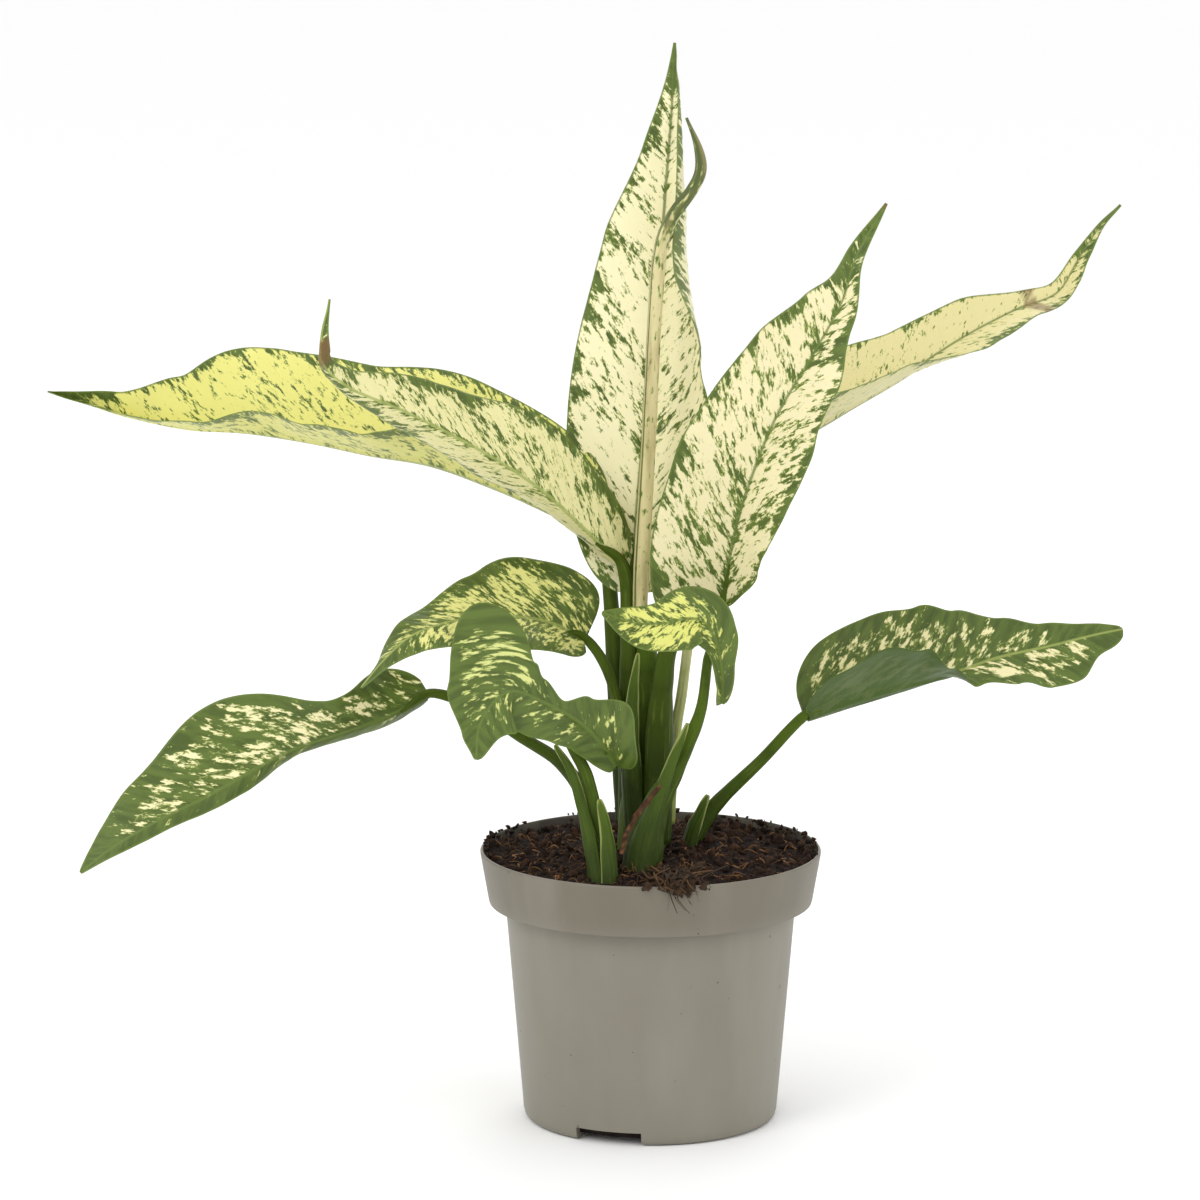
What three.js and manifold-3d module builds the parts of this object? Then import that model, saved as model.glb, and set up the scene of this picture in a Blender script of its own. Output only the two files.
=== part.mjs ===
// A chinese evergreen (Aglaonema) in a 12 cm nursery pot.
// Millimetres, +Z up. The origin is the middle of the pot's underside.
// The plant's front looks towards -Y and its right-hand side is +X.
import * as THREE from "three";
import { mergeVertices } from "three/addons/utils/BufferGeometryUtils.js";
import Module from "manifold-3d";

const wasm = await Module();
wasm.setup();

// Touching pieces keep this gap.
const GAP = 0.3;

const POT = {
  height: 96,
  rimRadius: 60,
  collarFootRadius: 57,
  collarFootZ: 77.5,
  shoulderRadius: 51.3,
  baseRadius: 44.9,
  baseRound: 2,
  collarRound: 0.5,
  rimRound: 0.6,
  wall: 1.2,
  sides: 72,
};

// Three recesses let water out under the edge of the base, each with a slot in its roof.
const DRAIN = {
  count: 3,
  reach: 12,
  overhang: 5,
  width: 24,
  height: 4.6,
  firstAngle: -20,
  slotWidth: 13,
  slotReach: 4,
};

// The soil's surface: a mound round the stems, with small lumps.
const SOIL = {
  level: 93,
  mound: 3.5,
  moundX: 8,
  moundY: -14,
  moundRadius: 30,
  lump: 0.8,
  lumpSize: 4,
  rings: 10,
  sides: 40,
};

const BLADE = { thickness: 0.8, steps: 16, across: 5, stubWidth: 0.7 };

// A stalk is a rod with this many sides, and a ring of points about every step along it.
const STALK = { sides: 8, step: 8 };

// Each leaf's blade and stalk.
// rib: the midrib from base to tip. face: where the upper surface looks, from base to tip.
// taper: how bluntly the blade starts and ends. left and right are the halves beside the rib,
// seen from above with the tip ahead: their width, the angle that they are folded up by at
// the rib, the angle that they then curl through, and how far their veins sweep forward.
// wave: height of the ripple along the margin, its waves along the blade, and its start.
// stalk: the path from the stem to the blade, and the radius at either end.
const LEAVES = {
  upright: {
    rib: [
      [-6, 2, 187], [-5, 8, 212], [-2, 16, 246], [2, 20, 284], [5, 20, 326], [7, 16, 354],
      [8, 12, 378],
    ],
    face: [[-0.15, -1, 0.1], [-0.2, -1, 0], [-0.1, -1, 0.1]],
    taper: [0.5, 1.05],
    left: { width: [26, 27, 27, 26, 19, 12], fold: [14, 6, 4, 0], curl: [10, -8, -5, 0] },
    right: {
      width: [26, 28, 30, 29, 27, 24, 14],
      fold: [10, 5, -15, -20, -20, -10],
      curl: [10, 25, 110, 170, 165, 120],
    },
    wave: [1.5, 2.2, 0.1],
    stalk: { path: [[-1, 0, 112], [0, 1, 149], [-3, 1, 170], [-6, 2, 187]], radii: [4.5, 2.4] },
  },
  front_right: {
    rib: [
      [25, -12, 186], [28, -20, 208], [33, -29, 229], [42, -36, 254], [54, -41, 276], [64, -43, 295],
      [69, -42, 311], [79, -38, 328],
    ],
    face: [[-0.35, -1, 0.45], [-0.3, -1, 0.35], [-0.25, -1, 0.1]],
    taper: [0.42, 1],
    left: {
      width: [33, 30, 27, 25, 25, 21, 11, 10],
      fold: [18, 8, 8],
      curl: [30, 0, -10],
      sweep: [-0.7, 0.15, 0.3, 0.2],
    },
    right: { width: [10, 19, 23, 25, 22, 14, 8, 9], fold: [25, 32, 25, 10], curl: [10, -5, -5, 0] },
    wave: [1.8, 3.4, 0.55],
    stalk: {
      path: [[2, -6, 112], [3, -8, 136], [4, -9, 156], [6, -10, 169], [13, -11, 180], [25, -12, 186]],
      radii: [4.4, 2.4],
    },
  },
  back_right: {
    rib: [
      [18, 0, 206], [39, 14, 231], [66, 29, 246], [89, 43, 257], [111, 56, 269], [131, 66, 278],
      [146, 73, 283], [154, 76, 295], [162, 78, 307], [169, 80, 314],
    ],
    face: [[-0.5, -0.6, 1], [-0.35, -0.75, 0.75], [-0.5, -0.7, 0.5]],
    taper: [0.55, 1.1],
    left: { width: [26, 28, 24, 22, 19, 17, 12, 8, 6], fold: [15, 10, 15, 20], curl: [0, 10, 10] },
    right: {
      width: [20, 20, 20, 18, 16, 14],
      fold: [60, 60, 52, 15, 8, 10],
      curl: [5, 5, 10, 10, 10, 10],
    },
    wave: [1.2, 4, 0.2],
    stalk: { path: [[6, 5, 112], [10, 3, 149], [14, 1, 177], [18, 0, 206]], radii: [3.6, 2.2] },
  },
  long_left: {
    rib: [
      [-21, 4, 208], [-37, 7, 216], [-56, 10, 224], [-77, 13, 231], [-98, 16, 234], [-119, 18, 238],
      [-141, 20, 241], [-162, 22, 242], [-183, 24, 246], [-197, 26, 250], [-212, 28, 254],
    ],
    face: [[0.2, -0.8, 0.7], [0.1, -0.75, 0.7], [0.05, -0.8, 0.6], [0.05, -0.8, 0.6]],
    taper: [0.4, 0.75],
    left: {
      width: [20, 22, 22, 21, 20, 18, 15, 12, 12],
      fold: [60, 85, 88, 85, 70, 72, 88, 70, 62, 58, 50],
      curl: [5, 6, 6, 5, 4, 5, 5, 5, 10],
    },
    right: {
      width: [33, 34, 34, 33, 34, 36, 26, 17, 12],
      fold: [25, 20, 12, 8, 5, 5, 20, 35, 50],
      curl: [0, 5, 10, 10, 10, 5, 20, 40, 60],
    },
    wave: [1.2, 3.2, 0.3],
    stalk: {
      path: [[-8, 6, 112], [-12, 8, 151], [-14, 8, 183], [-16, 6, 200], [-21, 4, 208]],
      radii: [4, 2.2],
    },
  },
  left_front: {
    rib: [
      [-10, -4, 197], [-23, -14, 212], [-37, -25, 227], [-52, -34, 239], [-69, -42, 250],
      [-85, -48, 259], [-102, -52, 267], [-111, -53, 275], [-112, -52, 283], [-109, -50, 297],
    ],
    face: [[0.5, -0.9, 0.6], [0.35, -0.6, 0.9], [0.3, -0.5, 0.9]],
    taper: [0.5, 1.3],
    left: { width: [14, 16, 12], fold: [-95, -100, -100], curl: [-40, -20, -20] },
    right: { width: [20, 24, 22, 20], fold: [5, 10, 10], curl: [10, 10, 5] },
    wave: [1, 3, 0.3],
    stalk: { path: [[-7, 0, 112], [-8, 0, 149], [-8, -2, 178], [-10, -4, 197]], radii: [4, 2.2] },
  },
  mid_left: {
    rib: [
      [-23, -4, 171], [-34, -10, 178], [-46, -18, 182], [-58, -28, 184], [-70, -38, 184],
      [-82, -47, 181], [-91, -53, 174], [-99, -57, 165],
    ],
    face: [[0.2, -0.8, 0.9], [0.1, -0.55, 1], [-0.2, -0.75, 0.8], [-0.5, -0.7, 0.7]],
    taper: [0.36, 0.8],
    left: { width: [13, 19, 19, 11, 8], fold: [10, 5, 0], curl: [-10, -10, -10] },
    right: { width: [27, 25, 16, 13, 12, 8], fold: [20, 15, -10, -20], curl: [10, 10, -30] },
    wave: [1.5, 2.6, 0.3],
    stalk: { path: [[-6, -4, 112], [-10, -4, 140], [-15, -4, 160], [-23, -4, 171]], radii: [3, 1.8] },
  },
  front_small: {
    rib: [
      [-12, -28, 131], [-17, -33, 140], [-25, -38, 149], [-37, -43, 157], [-47, -48, 162],
      [-54, -52, 159], [-59, -56, 151], [-60, -57, 140],
    ],
    face: [[-0.4, -1, 0.3], [-0.3, -0.8, 0.6], [-0.1, -1, 0.35], [-0.2, -1, 0.2]],
    taper: [0.36, 0.62],
    left: {
      width: [7, 8, 9, 11, 13, 15, 17, 14, 12],
      fold: [30, 10, 0, -5],
      curl: [20, -20, -20, -10],
      sweep: [-0.2, 0, 0.2, 0.2],
    },
    right: {
      width: [13, 15, 18, 9, 3, 7, 12, 39, 24, 11, 6],
      fold: [10, 20, 24, 18],
      curl: [30, 0, -5, -10],
      sweep: [-0.3, 0.1, 0.2, 0.4, -0.3, -0.05, 0.1],
    },
    wave: [0.6, 2, 0.3],
    stalk: {
      path: [
        [-18, -35, 106], [-19, -32, 114], [-22, -30, 127], [-27, -31, 138], [-30, -34, 145],
        [-27, -36, 149],
      ],
      radii: [3.5, 1.8],
    },
  },
  right_small: {
    rib: [
      [24, -36, 155], [24, -36, 166], [22, -34, 176], [18, -34, 183], [12, -37, 185], [3, -41, 184],
      [-7, -44, 185], [-17, -47, 189],
    ],
    face: [[0.75, -1, 0.35], [0.6, -1, 0.5], [0, -0.8, 0.9], [0, -0.7, 1], [0, -0.6, 1]],
    taper: [0.45, 0.7],
    left: {
      width: [5, 6, 8, 13, 16, 11],
      fold: [25, 20, 10, -5, -10, -10],
      curl: [20, 10, 0, -10, 0, 0],
      sweep: [0, 0, 0.1, 0.1],
    },
    right: {
      width: [5, 5, 8, 11, 9, 10, 8],
      fold: [25, 20, 15, 25, 15, 10],
      curl: [20, 20, 20, 10, 0, 0],
      sweep: [0, 0, 0.2, 0.2],
    },
    wave: [0.6, 2, 0.3],
    stalk: {
      path: [[-3, -31, 90], [1, -25, 115], [10, -24, 133], [17, -27, 151], [20, -30, 171]],
      radii: [6, 1.7],
    },
  },
  low_left: {
    rib: [
      [-77, -12, 153], [-91, -18, 147], [-106, -26, 143], [-123, -35, 139], [-138, -45, 133],
      [-153, -54, 126], [-168, -62, 120], [-183, -68, 112], [-194, -72, 104],
    ],
    face: [[0.1, -0.75, 0.9], [-0.1, -0.8, 0.7], [-0.4, -0.8, 0.6]],
    taper: [0.4, 0.8],
    left: { width: [10, 6, 5, 7, 8], fold: [-95, -90, -30, 0], curl: [-20, -10, 0] },
    right: { width: [21, 17, 28, 26, 19], fold: [10, 72, 12, 5, 5], curl: [5, 10, 10, 10, -10] },
    wave: [1.6, 2.4, 0.05],
    stalk: {
      path: [
        [-19, -31, 106], [-23, -23, 119], [-32, -14, 130], [-46, -8, 138], [-61, -8, 148],
        [-77, -12, 153],
      ],
      radii: [3.6, 1.8],
    },
  },
  low_right: {
    rib: [
      [55, 10, 141], [70, 14, 145], [88, 20, 149], [106, 26, 153], [124, 32, 158], [142, 37, 161],
      [157, 41, 164], [169, 44, 166],
    ],
    face: [[-0.2, -0.6, 1], [0.1, -0.7, 1], [0.1, -0.8, 0.8]],
    taper: [0.42, 0.6],
    left: { width: [28, 31, 31, 27, 21, 16, 11, 9, 9], fold: [30, 22, 5], curl: [10, 0, 0] },
    right: {
      width: [22, 28, 30, 23, 14, 9, 14, 19, 21, 15, 18],
      fold: [80, 85, 88, 82, 62, 5, -8, -10, -10, -10, -10],
      curl: [-10, -20, -20, -10, 0, 0, 0, 0, -10],
    },
    wave: [1.4, 2.8, 0.5],
    stalk: {
      path: [[10, 7, 82], [15, 9, 97], [23, 11, 109], [39, 11, 125], [55, 10, 141]],
      radii: [4, 1.8],
    },
  },
};

const VEIN_SWEEP = [-0.2, 0.25, 0.3, 0.2];

// The youngest leaf, still rolled up into a spear.
const NEW_LEAF = {
  path: [
    [-4, -6, 184], [-3, -5, 203], [-1, -3, 238], [1, 0, 280], [3, 2, 306], [7, 3, 318],
    [14, 3, 328], [17, 3, 335], [16, 3, 343], [12, 3, 353],
  ],
  radii: [2.7, 1.4],
};

// The two shoots that the stalks grow from, rooted in the soil.
const SHOOTS = {
  stem_main: { path: [[-2, -2, 68], [-2, -3, 92], [-2, -2, 108], [-1, 0, 124]], radii: [9.5, 5.5] },
  stem_left: { path: [[-17, -44, 74], [-17, -41, 95], [-18, -33, 112]], radii: [5.4, 3.8] },
};

// A dried-up strip of old sheath across the front of the main stem.
const DRY_SHEATH = {
  rib: [[3, -38, 127], [-4, -39, 119], [-9, -40, 112], [-11, -43, 104]],
  face: [[0, -1, 0.2], [-0.4, -1, 0.2], [-0.2, -1, 0.3]],
  taper: [0.2, 0.3],
  left: { width: 1.2, fold: 0, curl: 20 },
  right: { width: 1.2, fold: 0, curl: 20 },
  wave: [0.3, 2, 0],
};

// A tuft of roots and fibre that hangs over the front of the rim.
const ROOT_TUFT = {
  path: [[8, -30, 93], [10, -45, 96], [11, -57, 99.5], [12, -62, 98.5], [12, -63.5, 92]],
  radii: [4.5, 2],
};

const LOOK = {
  pot: { color: "#8f8d82", roughness: 0.5 },
  soil: { color: "#2c1a12", roughness: 1 },
  blade: { color: "#b9c489", roughness: 0.45 },
  stalk: { color: "#4f7a30", roughness: 0.5 },
  new_leaf: { color: "#dfe3b0", roughness: 0.45 },
  dry: { color: "#8a6238", roughness: 0.9 },
};

const rad = THREE.MathUtils.degToRad;
const vec = (p) => new THREE.Vector3(...p);

// A closed geometry as a solid that can be joined and cut.
function toSolid(geometry) {
  const bare = geometry.clone();
  bare.deleteAttribute("normal");
  bare.deleteAttribute("uv");
  const merged = mergeVertices(bare, 1e-4);
  return new wasm.Manifold(
    new wasm.Mesh({
      numProp: 3,
      vertProperties: merged.attributes.position.array,
      triVerts: new Uint32Array(merged.index.array),
    }),
  );
}

// A solid as a named mesh. A cut may leave crumbs, which are dropped.
function toMesh(name, solid, look) {
  const [biggest] = solid.decompose().sort((a, b) => b.volume() - a.volume());
  const { vertProperties, triVerts } = biggest.getMesh();
  const geometry = new THREE.BufferGeometry();
  geometry.setAttribute("position", new THREE.BufferAttribute(vertProperties, 3));
  geometry.setIndex(new THREE.BufferAttribute(triVerts, 1));
  geometry.computeVertexNormals();
  const mesh = new THREE.Mesh(geometry, new THREE.MeshStandardMaterial({ metalness: 0, ...look }));
  mesh.name = name;
  return mesh;
}

// Value at t, from 0 to 1, of a constant or of evenly spaced values joined smoothly.
function along(values, t) {
  if (!Array.isArray(values)) return values;
  const last = values.length - 1;
  const i = Math.min(Math.floor(t * last), last - 1);
  const f = THREE.MathUtils.smoothstep(t * last - i, 0, 1);
  return THREE.MathUtils.lerp(values[i], values[i + 1], f);
}

// Half width of a blade at t as a share of its greatest half width.
function outline([base, tip], t) {
  const widest = base / (base + tip);
  return (t / widest) ** base * ((1 - t) / (1 - widest)) ** tip;
}

// A closed body from loops of points, each loop joined to the next and both ends filled in.
function loft(loops) {
  const count = loops[0].length;
  const middle = (loop) => {
    const sum = new THREE.Vector3();
    for (const point of loop) sum.add(point);
    return sum.divideScalar(count);
  };
  const points = [...loops.flat(), middle(loops[0]), middle(loops.at(-1))];
  const first = loops.length * count;
  const index = [];
  for (let j = 0; j < count; j++) {
    const k = (j + 1) % count;
    for (let i = 0; i < loops.length - 1; i++) {
      const a = i * count + j;
      const b = i * count + k;
      index.push(a, b, a + count, b, b + count, a + count);
    }
    const end = first - count;
    index.push(first, k, j, first + 1, end + j, end + k);
  }
  const geometry = new THREE.BufferGeometry().setFromPoints(points);
  geometry.setIndex(index);
  return toSolid(geometry);
}

// The section of a blade at t: the upper face from left to right, then the lower face back.
function bladeSection(leaf, curve, t, grow) {
  const at = curve.getPointAt(t);
  const ahead = curve.getTangentAt(t);
  const face = new THREE.Vector3(
    along(leaf.face.map((f) => f[0]), t),
    along(leaf.face.map((f) => f[1]), t),
    along(leaf.face.map((f) => f[2]), t),
  );
  const up = face.addScaledVector(ahead, -face.dot(ahead)).normalize();
  const right = new THREE.Vector3().crossVectors(ahead, up);
  const [height, waves, start] = leaf.wave;
  const upper = [];
  const lower = [];
  for (let j = -BLADE.across; j <= BLADE.across; j++) {
    const d = Math.abs(j) / BLADE.across;
    const hand = Math.sign(j);
    const side = hand < 0 ? leaf.left : leaf.right;
    const width = along(side.width, t) * outline(leaf.taper, t) + BLADE.stubWidth + grow;
    const fold = rad(along(side.fold, t));
    const curl = rad(along(side.curl, t)) || 1e-3;
    const radius = width / curl;
    const angle = fold + curl * d;
    const out = radius * (Math.sin(angle) - Math.sin(fold));
    const phase = waves * t + start + (hand < 0 ? 0.5 : 0);
    const ripple = height * d * d * Math.sin(2 * Math.PI * phase) * Math.sin(Math.PI * t);
    const rise = radius * (Math.cos(fold) - Math.cos(angle)) + ripple;
    const forward = along(side.sweep ?? VEIN_SWEEP, t) * width * d ** 1.3;
    const point = at
      .clone()
      .addScaledVector(right, hand * out)
      .addScaledVector(up, rise)
      .addScaledVector(ahead, forward);
    const half = (BLADE.thickness / 2) * (d === 1 ? 0.5 : 1) + grow;
    const normal = up
      .clone()
      .multiplyScalar(Math.cos(angle))
      .addScaledVector(right, -hand * Math.sin(angle));
    upper.push(point.clone().addScaledVector(normal, half));
    lower.unshift(point.addScaledVector(normal, -half));
  }
  return [...upper, ...lower];
}

function blade(leaf, grow = 0) {
  const curve = new THREE.CatmullRomCurve3(leaf.rib.map(vec), false, "catmullrom");
  const loops = [];
  for (let i = 0; i <= BLADE.steps; i++) loops.push(bladeSection(leaf, curve, i / BLADE.steps, grow));
  return loft(loops);
}

// A tapering round rod along a smooth path.
function rod({ path, radii }, grow = 0) {
  const curve = new THREE.CatmullRomCurve3(path.map(vec), false, "catmullrom");
  const steps = Math.max(4, Math.round(curve.getLength() / STALK.step));
  const { normals, binormals } = curve.computeFrenetFrames(steps, false);
  const loops = [];
  for (let i = 0; i <= steps; i++) {
    const t = i / steps;
    const radius = THREE.MathUtils.lerp(...radii, t) + grow;
    const middle = curve.getPointAt(t);
    const loop = [];
    for (let j = 0; j < STALK.sides; j++) {
      const turn = (2 * Math.PI * j) / STALK.sides;
      loop.push(
        middle
          .clone()
          .addScaledVector(normals[i], radius * Math.cos(turn))
          .addScaledVector(binormals[i], radius * Math.sin(turn)),
      );
    }
    loops.push(loop);
  }
  return loft(loops);
}

function revolve(profile) {
  const points = profile.map(([r, z]) => new THREE.Vector2(r, z));
  return toSolid(new THREE.LatheGeometry(points, POT.sides).rotateX(Math.PI / 2));
}

// The pot's outside as a solid, and its inside, both from the bottom up.
function potOutside(grow = 0) {
  const foot = POT.baseRadius + grow;
  const top = POT.height + grow;
  return revolve([
    [0, 0],
    [foot - POT.baseRound, 0],
    [foot - POT.baseRound / 3, POT.baseRound / 3],
    [foot, 3 * POT.baseRound],
    [POT.shoulderRadius + grow, POT.collarFootZ - grow],
    [POT.collarFootRadius - POT.collarRound + grow, POT.collarFootZ - grow],
    [POT.collarFootRadius + grow, POT.collarFootZ + POT.collarRound],
    [POT.rimRadius + grow, top - POT.rimRound],
    [POT.rimRadius - POT.rimRound + grow, top],
    [0, top],
  ]);
}

function potInside(grow = 0) {
  const inset = POT.wall + grow;
  const floor = POT.wall + grow;
  const top = POT.height + 1 + grow;
  return revolve([
    [0, floor],
    [POT.baseRadius - POT.baseRound - inset, floor],
    [POT.baseRadius - inset, floor + 2 * POT.baseRound],
    [POT.shoulderRadius - inset, POT.collarFootZ + inset],
    [POT.collarFootRadius - inset, POT.collarFootZ + inset],
    [POT.rimRadius - inset, top],
    [0, top],
  ]);
}

// A box from radius lo to radius hi under the pot, turned to an angle.
function wedge(angle, lo, hi, width, bottom, top) {
  const box = new THREE.BoxGeometry(hi - lo, width, top - bottom);
  box.translate((lo + hi) / 2, 0, (bottom + top) / 2).rotateZ(rad(angle));
  return toSolid(box);
}

function pot(grow = 0) {
  const outside = potOutside(grow);
  let shell = outside.subtract(potInside(grow));
  const lo = POT.baseRadius - DRAIN.reach;
  const hi = POT.baseRadius + DRAIN.overhang;
  const wall = POT.wall + grow;
  for (let i = 0; i < DRAIN.count; i++) {
    const angle = -90 + DRAIN.firstAngle + (360 * i) / DRAIN.count;
    const lining = wedge(angle, lo - wall, hi, DRAIN.width + 2 * wall, 0, DRAIN.height + wall);
    shell = shell.add(lining.intersect(outside));
    if (grow) continue;
    const slotLo = lo + DRAIN.slotReach / 2;
    const slotHi = slotLo + DRAIN.slotReach;
    shell = shell
      .subtract(wedge(angle, lo, hi, DRAIN.width, -1, DRAIN.height))
      .subtract(wedge(angle, slotLo, slotHi, DRAIN.slotWidth, -1, DRAIN.height + 2 * wall));
  }
  return shell;
}

function soilHeight(x, y) {
  const away = Math.hypot(x - SOIL.moundX, y - SOIL.moundY) / SOIL.moundRadius;
  const lumps = Math.sin(x / SOIL.lumpSize) * Math.cos(y / SOIL.lumpSize);
  return SOIL.level + SOIL.mound * Math.exp(-away * away) + SOIL.lump * lumps;
}

// The soil fills the pot: its top is a grid of rings, closed by a flat underside.
function soil() {
  const edge = POT.rimRadius - POT.wall;
  const floor = POT.wall;
  const loops = [];
  for (let i = SOIL.rings; i >= 1; i--) {
    loops.push(ring((edge * i) / SOIL.rings, soilHeight));
  }
  loops.unshift(ring(edge, () => floor));
  return loft(loops).intersect(potInside(GAP));
}

// A level ring of points, each raised to its height.
function ring(radius, height) {
  const points = [];
  for (let j = 0; j < SOIL.sides; j++) {
    const turn = (2 * Math.PI * j) / SOIL.sides;
    const x = radius * Math.cos(turn);
    const y = radius * Math.sin(turn);
    points.push(new THREE.Vector3(x, y, height(x, y)));
  }
  return points;
}

// Every piece, in the order in which one is cut clear of the ones before it.
function pieces() {
  const list = [["pot", pot, LOOK.pot]];
  for (const [name, shoot] of Object.entries(SHOOTS))
    list.push([name, (grow) => rod(shoot, grow), LOOK.stalk]);
  for (const [name, leaf] of Object.entries(LEAVES))
    list.push(["stalk_" + name, (grow) => rod(leaf.stalk, grow), LOOK.stalk]);
  list.push(["new_leaf", (grow) => rod(NEW_LEAF, grow), LOOK.new_leaf]);
  for (const [name, leaf] of Object.entries(LEAVES))
    list.push(["leaf_" + name, (grow) => blade(leaf, grow), LOOK.blade]);
  list.push(["dry_sheath", (grow) => blade(DRY_SHEATH, grow), LOOK.dry]);
  list.push(["root_tuft", (grow) => rod(ROOT_TUFT, grow), LOOK.dry]);
  list.push(["soil", soil, LOOK.soil]);
  return list;
}

const group = new THREE.Group();
const placed = [];
for (const [name, make, look] of pieces()) {
  let solid = make(0);
  for (const earlier of placed) solid = solid.subtract(earlier);
  group.add(toMesh(name, solid, look));
  placed.push(make(GAP));
}

export default group;
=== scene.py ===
"""A chinese evergreen in a nursery pot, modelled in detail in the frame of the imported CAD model."""

import itertools
import math
import random

import bmesh
import bpy
import numpy as np
from mathutils import Euler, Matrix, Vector


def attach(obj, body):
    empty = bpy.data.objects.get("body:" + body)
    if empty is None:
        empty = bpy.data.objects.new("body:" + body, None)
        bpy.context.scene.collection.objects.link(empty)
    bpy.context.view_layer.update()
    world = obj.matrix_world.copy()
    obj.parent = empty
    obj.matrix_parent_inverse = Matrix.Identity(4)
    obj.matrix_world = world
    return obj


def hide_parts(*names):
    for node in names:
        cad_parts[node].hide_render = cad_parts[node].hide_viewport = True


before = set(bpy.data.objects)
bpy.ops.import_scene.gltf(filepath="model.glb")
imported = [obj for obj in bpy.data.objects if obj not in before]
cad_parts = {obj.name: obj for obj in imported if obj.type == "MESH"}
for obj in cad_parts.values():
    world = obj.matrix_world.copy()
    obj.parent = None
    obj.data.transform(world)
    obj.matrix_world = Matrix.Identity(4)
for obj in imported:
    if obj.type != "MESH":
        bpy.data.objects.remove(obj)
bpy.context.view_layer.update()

MM = 0.001


def tint(code):
    """A colour written as #rrggbb, as linear red, green, blue and alpha."""
    parts = [int(code[i : i + 2], 16) / 255 for i in (1, 3, 5)]
    return (*[c / 12.92 if c <= 0.04045 else ((c + 0.055) / 1.055) ** 2.4 for c in parts], 1.0)


DARK_GREEN = tint("#43541a")
MID_GREEN = tint("#647830")
PALE_GREEN = tint("#9ba758")
DRY_BROWN = tint("#7a5a34")

# How far forward each half sweeps where its leaf doesn't say, as a share of its width.
SWEEP = [-0.2, 0.25, 0.3, 0.2]


def half(width, fold, curl, sweep=SWEEP):
    """One half of a blade. Each value is constant, or keyed from the base to the tip."""
    return dict(width=width, fold=fold, curl=curl, sweep=sweep)


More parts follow.
